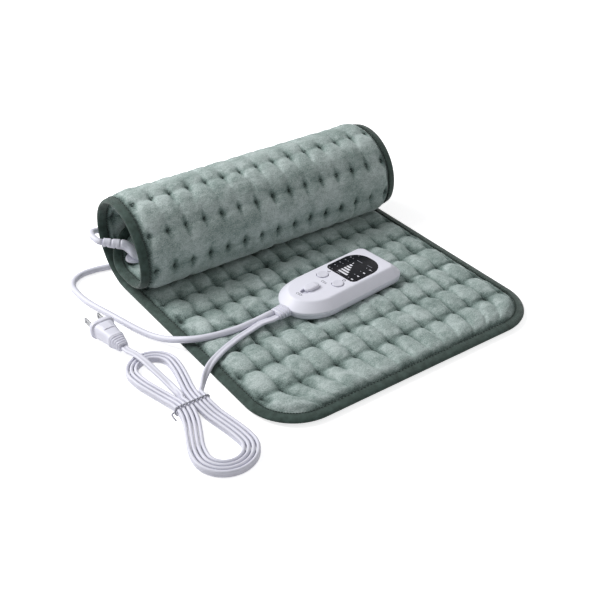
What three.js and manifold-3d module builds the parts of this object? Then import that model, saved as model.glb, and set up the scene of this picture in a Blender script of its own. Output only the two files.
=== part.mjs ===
import * as THREE from "three";
import { mergeVertices } from "three/addons/utils/BufferGeometryUtils.js";
import Module from "manifold-3d";

const wasm = await Module();
wasm.setup();

// Electric heating pad with a hand controller, in millimetres, +Z up.
// The pad lies flat from its front edge, and its far end is rolled forward over itself.
// While it is built, X runs along the roll and Y from the pad's front edge towards the roll.

// The pad: a sheet of this width and length, with rounded corners
const pad = {
  width: 300,
  length: 590,
  cornerRadius: 48,
  rollCentreY: 266,
  rollHalfWidth: 43.5,
  rollHalfHeight: 43.5,
  wrapPitch: 11.6, // the inner wrap lies this much nearer to the roll's centre
  seamHeight: 4.2, // from the floor to the plane between the two covers
};
const rollLeanShare = 0.06;
const wrapStartDegrees = 200;
const wrapEndDegrees = 270;
const pathStepDegrees = 1;

// Quilting: heights are measured from the plane between the covers
const quilt = {
  tuftRows: 16,
  tuftColumns: 15,
  firstRow: 46,
  columnMargin: 14.9, // from the pad's side edge to the first column of tufts
  layerHalf: 1.3, // half of the space between the covers, which holds the heater
  tuftHeight: 2.2,
  valleyHeight: 3.3,
  edgeHeight: 2.8,
  topCreaseHeight: 4.5,
  topCrownHeight: 5.2,
  bottomCreaseHeight: 4.4,
  bottomCrownHeight: 4.7,
  coverInset: 3, // the covers' edges lie this far inside the binding's outer edge
};
const seamLipShare = 0.11; // how fast a cover may thicken inside the binding

// The folded tape sewn round the edge
const binding = {
  width: 10,
  outerHalf: 3.1,
  legThickness: 0.6,
  rimHalf: 2.3,
  rimRound: 1,
  foldDepth: 2.2,
  foldHalf: 1.75,
  cornerSteps: 5,
};

// Heater: a wire sewn in passes on a thin carrier sheet
const heater = {
  wireDiameter: 1.3,
  wireSeamOffset: 0.35,
  wireSides: 6,
  passes: 16,
  passInset: 28, // the insets are measured from the pad's side edges
  turnRadius: 8,
  returnInset: 12,
  carrierInset: 20,
  carrierEndInset: 20,
  carrierTop: -0.6,
  carrierBottom: -1,
};

// Cable gland on the pad's inner end: a sewn-on flange that follows the plush, and a ribbed neck
const gland = {
  seatInset: 24,
  seatFromEnd: 42,
  seatGap: 0.3,
  flangeHalfLength: 13,
  flangeHalfWidth: 9,
  flangeThickness: 1.8,
  rootHalfLength: 6,
  neckHalfWidth: 7.5,
  neckHalfHeight: 4.5,
  ribRadius: 5,
  grooveRadius: 4.1,
  tipRadius: 4.3,
  ribPitch: 5,
  ribs: 4,
  sides: 12,
  tip: new THREE.Vector3(-pad.width / 2 - 2.5, 294.6, 41),
  tipRun: 23, // the last straight stretch before the tip
};
const glandSeatX = gland.seatInset - pad.width / 2;
const glandTipDirection = new THREE.Vector3(-0.82, 0.55, 0.16).normalize();
const glandRootSinkShare = 0.3; // how much of its half height the neck's root is sunk

const cordGap = 0.3; // where a cord's end meets another piece

// Round low-voltage cord from the gland to the controller
const padCord = {
  diameter: 6.2,
  sides: 10,
  steps: 64,
};
const padCordRoute = [
  [-156.9, 301.4, 42.3],
  [-157.3, 309.4, 43],
  [-153.5, 317, 42.2],
  [-145, 320.3, 39.5],
  [-136, 320.5, 35],
  [-126.5, 321.2, 28.5],
  [-117, 324, 20.5],
  [-107, 328, 12],
  [-97, 330.2, 5.8],
  [-86.5, 328, 3.3],
  [-78.5, 320.5, 3.2],
  [-76.5, 311, 3.2],
  [-81, 302.5, 3.2],
  [-90.5, 298.7, 3.2],
  [-104, 299.8, 3.2],
  [-122, 303.7, 3.2],
  [-142, 308, 3.2],
  [-158, 311.3, 3.2],
  [-172, 311, 3.2],
  [-183, 305, 3.2],
  [-189, 295, 3.2],
  [-190, 281.5, 3.2],
  [-189.2, 267.5, 3.2],
  [-186, 252, 3.2],
  [-181, 234, 3.2],
  [-176, 215, 3.2],
  [-170.6, 195, 3.3],
  [-165.3, 179.5, 3.9],
  [-159, 164, 6.6],
  [-150, 149, 11],
  [-138, 139.5, 13],
  [-120.5, 134.6, 13.1],
  [-101, 132.4, 13.2],
  [-84, 132.3, 14],
];

// Flat twin power cord: a section of two joined cores
const powerCord = {
  width: 6.6,
  thickness: 3.2,
  step: 11,
};
const powerLeadRoute = [
  // x, y, z and the section's turn from lying flat, in degrees
  [-81, 125.7, 14.6, 0],
  [-95, 124.8, 12.6, 0],
  [-113, 120.6, 11.9, 0],
  [-131.5, 113.5, 11.7, 0],
  [-147.5, 105.6, 10.4, 18],
  [-158.3, 98, 6.6, 50],
  [-166, 89.5, 4.2, 80],
];
const plugLeadRoute = [
  [-186.1, 88, 4.6, 70],
  [-186.6, 99, 5.6, 25],
  [-187.6, 113, 6.6, 0],
  [-189.4, 130, 8.2, 0],
  [-191.2, 146, 9.5, 0],
  [-193.3, 158, 9.5, 0],
];

// Hank: the power cord wound on edge in one layer, drawn in at a waist by a tie
const hank = {
  lowerTurns: 4,
  pitch: 3.8,
  lowerCentre: new THREE.Vector2(-189.7, 14.3),
  lowerRadius: 25.9,
  upperCentre: new THREE.Vector2(-187.1, 135.4),
  upperRadius: 22.2,
  waistCentre: new THREE.Vector2(-184.2, 73.5),
  floorGap: 0.05,
  tieLift: 1.9, // the strands rise over the tie's lower side
  tieLiftReach: 22,
  arcSteps: 6,
};
const flankShares = [0.45, 0.87]; // where a flank bends, from the loop's end to the waist

const tie = {
  width: 2.2,
  thickness: 1.2,
  clearance: 0.35,
  tailOut: 4.4, // how far the twisted tail stands off to the left
  tailForward: 9,
  tailDrop: 0.6,
  tailWidth: 2,
  tailThickness: 0.9,
  tailSteps: 10,
};
const tieTailTurns = 1.25;

// Two-blade mains plug, its axis lying along +Y
const plug = {
  cordEnd: new THREE.Vector3(-196, 172, 9.1),
  turnDegrees: 3.8,
  flangeWidth: 23.4,
  flangeHeight: 17.8,
  flangeThickness: 5,
  flangeCorner: 5.5,
  bodyWidth: 19.6,
  bodyHeight: 15.4,
  bodyLength: 20,
  collarWidth: 14.6,
  collarHeight: 12.8,
  collarLength: 3,
  reliefLength: 12,
  reliefEndWidth: 9.4,
  reliefEndHeight: 8.2,
  ribs: 4,
  ribDepth: 0.8,
  bodyCorner: 4,
  panelWidth: 9,
  panelLength: 10,
  panelDepth: 0.7,
  cornerSteps: 3,
};
const blade = {
  spacing: 12.7,
  width: 6.35,
  thickness: 1.5,
  reach: 17.5,
  rootDepth: 6,
  clearance: 0.3,
  holeRadius: 1.6,
  holeFromTip: 3.9,
  tipChamfer: 1.2,
};

// Controller: u runs along it from the cord end, v across, w up from its underside
const controller = {
  centre: new THREE.Vector2(9, 136),
  turnDegrees: 6,
  seatGap: 0.3,
  length: 126,
  width: 62,
  cornerRadius: 14,
  taperLength: 36,
  partingHeight: 4.9,
  partingGap: 0.3,
  shoulderHeight: 8,
  bevelTopHeight: 14.8,
  bevelInset: 7.4,
  height: 16,
  edgeRound: 1.2,
  wall: 2,
  cornerSteps: 4,
  taperSteps: 12,
};
const floorThickness = 2;

const display = {
  left: 3,
  right: 46,
  halfWidth: 19.5,
  leftCorner: 5.5,
  rightCorner: 17,
  thickness: 1,
  proud: 0.1,
  clearance: 0.3,
  ledge: 2,
  cornerSteps: 5,
  boardLength: 38,
  boardWidth: 34,
  boardThickness: 1.2,
  boardGap: 0.6,
  headerLength: 22,
  headerWidth: 2.5,
  headerV: 13,
};

const button = {
  u: -8,
  v: 10.5,
  radius: 5.4,
  clearance: 0.35,
  proud: 0.8,
  crownRound: 0.5,
  flangeRadius: 6.8,
  flangeThickness: 1,
  stemRadius: 2,
  stemGap: 0.9, // from the stem to the switch under it, more than the travel
  sides: 24,
  restGap: 0.3,
};

const slider = {
  u: -31.5,
  capLength: 16,
  capWidth: 9.6,
  capHeight: 2.6,
  capRound: 0.8,
  ridges: 4,
  ridgeHeight: 0.5,
  ridgeWidth: 1.1,
  ridgePitch: 2.4,
  ridgeInset: 1.2,
  neckLength: 7.6,
  neckWidth: 6.8,
  slotWidth: 7.6,
  travel: 4.5,
  slotSpare: 0.4,
  plateLength: 25,
  plateWidth: 11,
  plateThickness: 1,
  runGap: 0.3,
  ends: 6,
};

const board = {
  bottom: 6.1,
  thickness: 1.6,
  right: 46,
  left: -46,
  neckU: -34,
  halfWidth: 22,
  neckHalfWidth: 13,
  partGap: 0.3,
  pillarRadius: 2,
};
const boardPillars = [
  [-22, 12],
  [-22, -12],
  [38, 15],
  [38, -15],
];

const tactSwitch = { size: 6, height: 2.6 };
const slideSwitch = {
  length: 14,
  width: 6,
  height: 2.6,
  leverLength: 3,
  leverWidth: 2.4,
};
const triac = { u: 27, v: -4, length: 15, width: 10, thickness: 2.6, tabThickness: 1.2, tabLength: 6 };
const fuse = { u: 14, v: -6, length: 15, radius: 1.6, capRadius: 1.8, capLength: 3, sides: 10 };
const capacitor = { u: 39, v: -2, length: 6, width: 12, height: 3.6, round: 0.8 };

// Screws come up from below through bosses into posts under the top shell
const screw = {
  places: [
    [51, 20],
    [51, -20],
    [-40, 18],
    [-40, -18],
  ],
  headRadius: 2.6,
  headHeight: 1.7,
  recessRadius: 3,
  recessDepth: 2.3,
  shankRadius: 1.2,
  boreRadius: 1.55,
  bossRadius: 3.9,
  postRadius: 3.6,
  bossTop: 8,
  shankTop: 12,
  pilotTop: 12.6,
  gap: 0.3,
  slotWidth: 0.8,
  slotDepth: 0.7,
  sides: 14,
};

// Boot: both cords enter the controller's narrow end through it
const boot = {
  centreHeight: 6,
  width: 16.4,
  height: 9.4,
  length: 12,
  endWidth: 14.6,
  endHeight: 8.2,
  ribs: 3,
  grooveDepth: 1,
  neckWidth: 12,
  neckHeight: 6.4,
  neckLength: 5.8,
  innerFlange: 2.4, // wider than the neck, but no taller
  innerFlangeLength: 1.4,
  clearance: 0.3,
  cornerSteps: 3,
  padCordV: 4.1,
  powerCordV: -3.9,
};

const overrun = 3; // how far a cutting solid passes the faces that it cuts

const colours = {
  plush: 0x7f9690,
  bindingTape: 0x3a4a45,
  carrier: 0xd8d8d2,
  wire: 0xc9b48a,
  whitePlastic: 0xe8e8ee,
  whiteCord: 0xe2e2ea,
  lens: 0x1c1e28,
  boardGreen: 0x2f6b45,
  switchBlack: 0x26262a,
  metal: 0xb9bcc0,
  capacitorYellow: 0xd8b94a,
  tieGrey: 0x6d6f76,
};

// Solids

const radians = THREE.MathUtils.degToRad;

function smooth(share) {
  return THREE.MathUtils.smoothstep(share, 0, 1);
}

// The signed volume of a triangle mesh tells whether its faces point outwards.
function signedVolume(positions, index) {
  const a = new THREE.Vector3();
  const b = new THREE.Vector3();
  const c = new THREE.Vector3();
  let sum = 0;
  for (let i = 0; i < index.length; i += 3) {
    a.fromArray(positions, index[i] * 3);
    b.fromArray(positions, index[i + 1] * 3);
    c.fromArray(positions, index[i + 2] * 3);
    sum += a.dot(b.cross(c));
  }
  return sum;
}

function geometryOf(points, index) {
  const positions = points.flatMap((p) => [p.x, p.y, p.z]);
  if (signedVolume(positions, index) < 0) index.reverse();
  const geometry = new THREE.BufferGeometry();
  geometry.setAttribute("position", new THREE.Float32BufferAttribute(positions, 3));
  geometry.setIndex(index);
  return geometry;
}

// Joins rings of equal count into one body, closed on itself or with a flat cap at each end.
function loft(rings, closed = false) {
  const count = rings[0].length;
  const index = [];
  const spans = closed ? rings.length : rings.length - 1;
  for (let i = 0; i < spans; i++) {
    const here = i * count;
    const next = ((i + 1) % rings.length) * count;
    for (let k = 0; k < count; k++) {
      const l = (k + 1) % count;
      index.push(here + k, here + l, next + l, here + k, next + l, next + k);
    }
  }
  if (!closed) {
    const last = (rings.length - 1) * count;
    for (let k = 1; k < count - 1; k++) {
      index.push(0, k + 1, k, last, last + k, last + k + 1);
    }
  }
  return geometryOf(rings.flat(), index);
}

function solidOf(geometry) {
  const bare = geometry.clone();
  bare.deleteAttribute("normal");
  bare.deleteAttribute("uv");
  const merged = mergeVertices(bare);
  return new wasm.Manifold(
    new wasm.Mesh({
      numProp: 3,
      vertProperties: new Float32Array(merged.attributes.position.array),
      triVerts: new Uint32Array(merged.index.array),
    }),
  );
}

function geometryFrom(solid) {
  const mesh = solid.getMesh();
  const geometry = new THREE.BufferGeometry();
  geometry.setAttribute("position", new THREE.Float32BufferAttribute(mesh.vertProperties, 3));
  geometry.setIndex(new THREE.Uint32BufferAttribute(mesh.triVerts, 1));
  return geometry;
}

function boxSolid(low, high) {
  const size = new THREE.Vector3().subVectors(high, low);
  const middle = new THREE.Vector3().addVectors(low, high).divideScalar(2);
  const geometry = new THREE.BoxGeometry(size.x, size.y, size.z);
  geometry.translate(middle.x, middle.y, middle.z);
  return solidOf(geometry);
}

// An upright cylinder from one height to another
function postSolid(u, v, radius, low, high, sides) {
  const geometry = new THREE.CylinderGeometry(radius, radius, high - low, sides);
  geometry.rotateX(Math.PI / 2);
  geometry.translate(u, v, (low + high) / 2);
  return solidOf(geometry);
}

function plateSolid(outline, low, high) {
  const geometry = new THREE.ExtrudeGeometry(new THREE.Shape(outline), {
    depth: high - low,
    bevelEnabled: false,
  });
  geometry.translate(0, 0, low);
  return solidOf(geometry);
}

function meshOf(name, geometry, colour, roughness, metalness = 0) {
  const material = new THREE.MeshStandardMaterial({ color: colour, roughness, metalness });
  const mesh = new THREE.Mesh(geometry, material);
  mesh.name = name;
  return mesh;
}

// A rounded rectangle as points, anticlockwise, centred on (x, y)
function roundedRectangle(x, y, width, height, corner, steps) {
  const points = [];
  const centres = [
    [width / 2 - corner, height / 2 - corner, 0],
    [corner - width / 2, height / 2 - corner, Math.PI / 2],
    [corner - width / 2, corner - height / 2, Math.PI],
    [width / 2 - corner, corner - height / 2, Math.PI * 1.5],
  ];
  for (const [cx, cy, start] of centres) {
    for (let k = 0; k <= steps; k++) {
      const angle = start + ((Math.PI / 2) * k) / steps;
      points.push(
        new THREE.Vector2(x + cx + corner * Math.cos(angle), y + cy + corner * Math.sin(angle)),
      );
    }
  }
  return points;
}

// The pad's path: the plane between the covers, seen from its left end

// A point of the roll at an angle round its centre, with -90 degrees at the floor
function rollPoint(degrees) {
  const inwardShare = smooth((degrees - wrapStartDegrees) / (wrapEndDegrees - wrapStartDegrees));
  const inward = pad.wrapPitch * inwardShare;
  const angle = radians(degrees);
  const up = (pad.rollHalfHeight - inward) * Math.sin(angle);
  const back = (pad.rollHalfWidth - inward) * Math.cos(angle);
  return new THREE.Vector2(
    pad.rollCentreY + back + rollLeanShare * up,
    pad.seamHeight + pad.rollHalfHeight + up,
  );
}

const rollPath = [];
const startDegrees = -90;
{
  let previous = rollPoint(startDegrees);
  let length = previous.x;
  let degrees = startDegrees;
  rollPath.push({ point: previous, length });
  while (length < pad.length) {
    degrees += pathStepDegrees;
    const point = rollPoint(degrees);
    length += point.distanceTo(previous);
    rollPath.push({ point, length });
    previous = point;
  }
}
const flatLength = rollPath[0].length;

// The point and the direction towards the top cover at a distance from the front edge
function pathAt(distance) {
  if (distance <= flatLength) {
    return { point: new THREE.Vector2(distance, pad.seamHeight), up: new THREE.Vector2(0, 1) };
  }
  let k = 1;
  while (k < rollPath.length - 1 && rollPath[k].length < distance) k++;
  const a = rollPath[k - 1];
  const b = rollPath[k];
  const share = (distance - a.length) / (b.length - a.length);
  const along = new THREE.Vector2().subVectors(b.point, a.point).normalize();
  return {
    point: new THREE.Vector2().lerpVectors(a.point, b.point, share),
    up: new THREE.Vector2(-along.y, along.x),
  };
}

const rowPitch = (pad.length - 2 * quilt.firstRow) / (quilt.tuftRows - 1);
const halfColumns = (quilt.tuftColumns - 1) / 2;
const columnPitch = (pad.width / 2 - quilt.columnMargin) / halfColumns;
const nearEdge = quilt.columnMargin;

// Distances of the quilt's rows from the front edge, with each row's kind
function quiltRows() {
  const rows = [
    { at: quilt.coverInset, kind: "border" },
    { at: nearEdge, kind: "edge" },
    { at: (nearEdge + quilt.firstRow) / 2, kind: "crown" },
  ];
  for (let k = 0; k < quilt.tuftRows; k++) {
    rows.push({ at: quilt.firstRow + k * rowPitch, kind: "tuft" });
    if (k < quilt.tuftRows - 1) {
      rows.push({ at: quilt.firstRow + (k + 0.5) * rowPitch, kind: "crown" });
    }
  }
  for (const k of [2, 1, 0]) rows.push({ at: pad.length - rows[k].at, kind: rows[k].kind });
  return rows;
}

function quiltColumns() {
  const columns = [{ at: pad.width / 2 - quilt.coverInset, kind: "border" }];
  for (let k = 2 * halfColumns; k >= 0; k--) {
    const kind = k === 2 * halfColumns ? "edgeTuft" : k % 2 === 0 ? "tuft" : "crown";
    columns.push({ at: (k / 2) * columnPitch, kind });
  }
  const mirrored = columns.slice(0, -1).reverse();
  const left = columns.map((c) => ({ at: -c.at, kind: c.kind }));
  return [...left, ...mirrored];
}

const rows = quiltRows();
const columns = quiltColumns();

// Every layer bends at the same stations, so that the layers stay apart.
const stations = [0, ...rows.map((row) => row.at), pad.length].map((at) => ({
  at,
  ...pathAt(at),
}));

// A point of the pad: x, distance along it, and height towards the top cover
function padPoint(x, distance, height) {
  let k = 1;
  while (k < stations.length - 1 && stations[k].at < distance) k++;
  const a = stations[k - 1];
  const b = stations[k];
  const share = (distance - a.at) / (b.at - a.at);
  const point = new THREE.Vector2().lerpVectors(a.point, b.point, share);
  const up = new THREE.Vector2().lerpVectors(a.up, b.up, share);
  return new THREE.Vector3(x, point.x + up.x * height, point.y + up.y * height);
}

// Cuts a triangle of a flat layer in two where it crosses a station.
function cutAt(triangle, at) {
  const sides = triangle.map((p) => Math.sign(p.y - at));
  if (!sides.includes(1) || !sides.includes(-1)) return [triangle];
  const pieces = [];
  for (const side of [1, -1]) {
    const kept = [];
    triangle.forEach((p, k) => {
      const q = triangle[(k + 1) % 3];
      if (sides[k] !== -side) kept.push(p);
      if (sides[k] * sides[(k + 1) % 3] < 0) {
        const [low, high] = p.y < q.y ? [p, q] : [q, p];
        const crossing = low.clone().lerp(high, (at - low.y) / (high.y - low.y));
        crossing.y = at;
        kept.push(crossing);
      }
    });
    for (let k = 2; k < kept.length; k++) pieces.push([kept[0], kept[k - 1], kept[k]]);
  }
  return pieces;
}

// Rolls up a layer that was modelled flat, with x across the pad, y along it and z its height.
function rolledUp(flatGeometry) {
  const source = flatGeometry.index ? flatGeometry.toNonIndexed() : flatGeometry;
  const places = source.attributes.position;
  let triangles = [];
  for (let k = 0; k < places.count; k += 3) {
    triangles.push([0, 1, 2].map((i) => new THREE.Vector3().fromBufferAttribute(places, k + i)));
  }
  for (const { at } of stations) {
    if (at > flatLength - rowPitch) triangles = triangles.flatMap((t) => cutAt(t, at));
  }
  const positions = triangles.flat().flatMap((p) => padPoint(p.x, p.y, p.z).toArray());
  const geometry = new THREE.BufferGeometry();
  geometry.setAttribute("position", new THREE.Float32BufferAttribute(positions, 3));
  return mergeVertices(geometry);
}

// Half of the pad's width at a distance, for an outline set in from the pad's own
function halfWidthAt(distance, inset) {
  const fromEnd = Math.min(distance, pad.length - distance);
  const full = pad.width / 2 - inset;
  if (fromEnd >= pad.cornerRadius) return full;
  const radius = pad.cornerRadius - inset;
  const along = Math.min(pad.cornerRadius - fromEnd, radius);
  return pad.width / 2 - pad.cornerRadius + Math.sqrt(radius * radius - along * along);
}

// How far a point lies inside the pad's outline
function insideBy(x, distance) {
  const fromEnd = Math.min(distance, pad.length - distance);
  const beyond = Math.abs(x) - (pad.width / 2 - pad.cornerRadius);
  if (beyond > 0 && fromEnd < pad.cornerRadius) {
    return pad.cornerRadius - Math.hypot(beyond, pad.cornerRadius - fromEnd);
  }
  return Math.min(pad.width / 2 - Math.abs(x), fromEnd);
}

// Quilted covers

function quiltHeight(row, column, valley, crease, crown) {
  if (row.kind === "border" || column.kind === "border") return quilt.layerHalf;
  if (row.kind === "tuft") {
    return column.kind === "crown" ? valley : quilt.tuftHeight;
  }
  if (row.kind === "edge" || column.kind === "edgeTuft") return quilt.edgeHeight;
  return column.kind === "crown" ? crown : crease;
}

// One cover: a quilted outer face, and a plain inner face that spans from edge to edge.
// side is 1 for the top cover and -1 for the bottom one. The bottom one is pressed flat round
// its tufts where it lies on the floor.
function coverGeometry(side, crease, crown) {
  const points = [];
  const fullHalf = pad.width / 2 - quilt.coverInset;
  for (const row of rows) {
    const widthShare = halfWidthAt(row.at, quilt.coverInset) / fullHalf;
    const valley = side < 0 && row.at < flatLength ? crown : quilt.valleyHeight;
    for (const column of columns) {
      const x = column.at * widthShare;
      const lip = insideBy(x, row.at) - quilt.coverInset;
      const nearBinding = lip < binding.width;
      const limit = nearBinding ? quilt.layerHalf + seamLipShare * Math.max(lip, 0) : crown;
      const height = Math.min(quiltHeight(row, column, valley, crease, crown), limit);
      const point = padPoint(x, row.at, side * height);
      point.z = Math.max(point.z, 0);
      points.push(point);
    }
  }
  const across = columns.length;
  const at = (j, i) => j * across + i;
  const last = across - 1;
  const end = rows.length - 1;
  const index = [];
  // The diagonals run from crease to valley, round each tuft.
  for (let j = 0; j < end; j++) {
    for (let i = 0; i < last; i++) {
      const [a, b, c, d] = [at(j, i), at(j, i + 1), at(j + 1, i + 1), at(j + 1, i)];
      index.push(...((j + i) % 2 === 0 ? [a, b, d, b, c, d] : [a, b, c, a, c, d]));
    }
  }
  // Inner face, seen from the other side
  for (let j = 1; j < end - 1; j++) {
    index.push(at(j, 0), at(j + 1, last), at(j, last));
    index.push(at(j, 0), at(j + 1, 0), at(j + 1, last));
  }
  for (let i = 0; i < last; i++) {
    index.push(at(1, 0), at(0, i + 1), at(0, i));
    index.push(at(end - 1, 0), at(end, i), at(end, i + 1));
  }
  index.push(at(1, 0), at(1, last), at(0, last));
  index.push(at(end - 1, 0), at(end, last), at(end - 1, last));
  return geometryOf(points, index);
}

// Binding

// Points round the pad's outline with the direction inwards, both on the unrolled pad
function outlineRings() {
  const rings = [];
  const straightX = pad.width / 2 - pad.cornerRadius;
  const farCorner = pad.length - pad.cornerRadius;
  const sideStations = stations
    .map((station) => station.at)
    .filter((at) => at > flatLength - rowPitch / 2 && at < farCorner);
  const corner = (sideX, endY, first) => {
    for (let k = 0; k <= binding.cornerSteps; k++) {
      const angle = first - ((Math.PI / 2) * k) / binding.cornerSteps;
      const outward = new THREE.Vector2(Math.cos(angle), Math.sin(angle));
      rings.push({
        x: sideX + pad.cornerRadius * outward.x,
        at: endY + pad.cornerRadius * outward.y,
        inward: outward.clone().negate(),
      });
    }
  };
  const side = (sign, places) => {
    for (const at of places) {
      rings.push({ x: (sign * pad.width) / 2, at, inward: new THREE.Vector2(-sign, 0) });
    }
  };
  corner(-straightX, pad.cornerRadius, Math.PI * 1.5);
  side(-1, sideStations);
  corner(-straightX, farCorner, Math.PI);
  corner(straightX, farCorner, Math.PI / 2);
  side(1, [...sideStations].reverse());
  corner(straightX, pad.cornerRadius, 0);
  return rings;
}

function bindingGeometry() {
  const inner = binding.outerHalf - binding.legThickness;
  const section = [
    [binding.width, binding.outerHalf],
    [binding.rimRound, binding.rimHalf],
    [0, 0],
    [binding.rimRound, -binding.rimHalf],
    [binding.width, -binding.outerHalf],
    [binding.width, -inner],
    [binding.foldDepth, -binding.foldHalf],
    [binding.foldDepth, binding.foldHalf],
    [binding.width, inner],
  ];
  const rings = outlineRings().map((ring) =>
    section.map(
      ([depth, height]) =>
        new THREE.Vector3(ring.x + ring.inward.x * depth, ring.at + ring.inward.y * depth, height),
    ),
  );
  return rolledUp(loft(rings, true));
}

// Heater

function carrierGeometry() {
  const carrierHalfWidth = pad.width / 2 - heater.carrierInset;
  const low = heater.carrierEndInset;
  const high = pad.length - low;
  const places = stations.map((station) => station.at).filter((at) => at > low && at < high);
  const rings = [low, ...places, high].map((at) => [
    padPoint(-carrierHalfWidth, at, heater.carrierBottom),
    padPoint(carrierHalfWidth, at, heater.carrierBottom),
    padPoint(carrierHalfWidth, at, heater.carrierTop),
    padPoint(-carrierHalfWidth, at, heater.carrierTop),
  ]);
  return loft(rings);
}

// The wire's route on the unrolled pad: passes between the tuft rows, then a run back
function wireRoute() {
  const route = [];
  const passHalfWidth = pad.width / 2 - heater.passInset;
  const returnX = pad.width / 2 - heater.returnInset;
  const quarter = heater.turnRadius * (1 - Math.SQRT1_2);
  const turnX = passHalfWidth + heater.turnRadius;
  const passAt = (k) =>
    k < 0
      ? (nearEdge + quilt.firstRow) / 2
      : quilt.firstRow + (k + 0.5) * rowPitch;
  const add = (x, at) => route.push(new THREE.Vector2(x, at));
  const lastPass = heater.passes - 2;
  add(-turnX, passAt(lastPass) + rowPitch / 2);
  add(-turnX, passAt(lastPass) + heater.turnRadius);
  add(-turnX + quarter, passAt(lastPass) + quarter);
  for (let k = lastPass; k >= -1; k--) {
    const sign = (lastPass - k) % 2 === 0 ? 1 : -1;
    const here = passAt(k);
    add(-sign * passHalfWidth, here);
    add(sign * passHalfWidth, here);
    if (k > -1) {
      const next = passAt(k - 1);
      add(sign * (turnX - quarter), here - quarter);
      add(sign * turnX, here - heater.turnRadius);
      add(sign * turnX, quilt.firstRow + k * rowPitch);
      add(sign * turnX, next + heater.turnRadius);
      add(sign * (turnX - quarter), next + quarter);
    }
  }
  const front = passAt(-1);
  add(-turnX, front + quarter);
  add(-returnX, front + heater.turnRadius);
  for (const station of stations) {
    const behind = passAt(lastPass) + rowPitch / 2;
    if (station.at > flatLength - rowPitch / 2 && station.at <= behind) {
      add(-returnX, station.at);
    }
  }
  return route;
}

function wireGeometry() {
  const route = wireRoute();
  const radius = heater.wireDiameter / 2;
  const rings = route.map((place, k) => {
    const before = route[Math.max(k - 1, 0)];
    const after = route[Math.min(k + 1, route.length - 1)];
    const arriving = new THREE.Vector2().subVectors(place, before).normalize();
    const leaving = new THREE.Vector2().subVectors(after, place).normalize();
    const along = arriving.add(leaving).normalize();
    const ring = [];
    for (let i = 0; i < heater.wireSides; i++) {
      const angle = (Math.PI * 2 * i) / heater.wireSides;
      const aside = radius * Math.cos(angle);
      const height = heater.wireSeamOffset + radius * Math.sin(angle);
      ring.push(padPoint(place.x - along.y * aside, place.y + along.x * aside, height));
    }
    return ring;
  });
  return loft(rings);
}

// Sweeps along points in space

const upright = new THREE.Vector3(0, 0, 1);

// A frame across a cord at a point, with its side level
function frameAt(point, tangent) {
  const side = new THREE.Vector3().crossVectors(tangent, upright).normalize();
  return { point, side, up: new THREE.Vector3().crossVectors(side, tangent) };
}

function ringAt(frame, section) {
  return section.map(([a, b]) =>
    frame.point.clone().addScaledVector(frame.side, a).addScaledVector(frame.up, b),
  );
}

function ellipseSection(halfWidth, halfHeight, sides) {
  const section = [];
  for (let k = 0; k < sides; k++) {
    const angle = (Math.PI * 2 * k) / sides;
    section.push([halfWidth * Math.cos(angle), halfHeight * Math.sin(angle)]);
  }
  return section;
}

function glandFlangeSolid(seatAt, low) {
  const outline = new THREE.Shape();
  const { flangeHalfLength, flangeHalfWidth, flangeThickness } = gland;
  outline.absellipse(glandSeatX, seatAt, flangeHalfLength, flangeHalfWidth, 0, Math.PI * 2);
  const plate = new THREE.ExtrudeGeometry(outline, {
    depth: flangeThickness,
    bevelEnabled: false,
    curveSegments: gland.sides,
  });
  plate.translate(0, 0, low);
  return solidOf(rolledUp(plate));
}

function glandGeometry() {
  const seatAt = pad.length - gland.seatFromEnd;
  const low = quilt.topCrownHeight + gland.seatGap;
  const seat = padPoint(glandSeatX, seatAt, low);
  const normal = padPoint(glandSeatX, seatAt, low + 1).sub(seat);
  const ring = (point, tangent, halfWidth, halfHeight) => {
    const up = normal.clone().projectOnPlane(tangent).normalize();
    const side = new THREE.Vector3().crossVectors(tangent, up);
    return ringAt({ point, side, up }, ellipseSection(halfWidth, halfHeight, gland.sides));
  };
  const leftwards = new THREE.Vector3(-1, 0, 0);
  const rise = gland.flangeThickness + gland.neckHalfHeight * (1 - glandRootSinkShare);
  const root = (run) => seat.clone().addScaledVector(normal, rise).addScaledVector(leftwards, run);
  const { neckHalfWidth, neckHalfHeight, rootHalfLength } = gland;
  const rings = [
    ring(root(-rootHalfLength), leftwards, neckHalfWidth / 2, neckHalfHeight / 2),
    ring(root(-rootHalfLength / 2), leftwards, neckHalfWidth, neckHalfHeight),
    ring(root(rootHalfLength / 2), leftwards, neckHalfWidth, neckHalfHeight),
  ];
  const tipRing = (run, radius) => {
    const back = gland.tipRun - run;
    const point = gland.tip.clone().addScaledVector(glandTipDirection, -back);
    rings.push(ring(point, glandTipDirection, radius, radius));
  };
  tipRing(0, gland.ribRadius);
  const firstRib = gland.tipRun - gland.ribs * gland.ribPitch;
  const rib = gland.ribPitch / 2;
  for (let k = 0; k < gland.ribs; k++) {
    const run = firstRib + k * gland.ribPitch;
    const radius = THREE.MathUtils.lerp(gland.ribRadius, gland.tipRadius, k / (gland.ribs - 1));
    tipRing(run, gland.grooveRadius);
    tipRing(run + rib * 0.6, gland.grooveRadius);
    tipRing(run + rib, radius);
    tipRing(run + rib * 1.8, radius);
  }
  return geometryFrom(solidOf(loft(rings)).add(glandFlangeSolid(seatAt, low)));
}

// The controller's frame

const controllerBase = pad.seamHeight + quilt.topCrownHeight + controller.seatGap;
const controllerTurn = radians(controller.turnDegrees);
const controllerAxis = new THREE.Vector3(Math.cos(controllerTurn), Math.sin(controllerTurn), 0);
const controllerAcross = new THREE.Vector3(-controllerAxis.y, controllerAxis.x, 0);

function controllerPoint(u, v, w) {
  return new THREE.Vector3(controller.centre.x, controller.centre.y, controllerBase + w)
    .addScaledVector(controllerAxis, u)
    .addScaledVector(controllerAcross, v);
}

const bootEndU = -controller.length / 2 - boot.length;

// Cords

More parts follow.
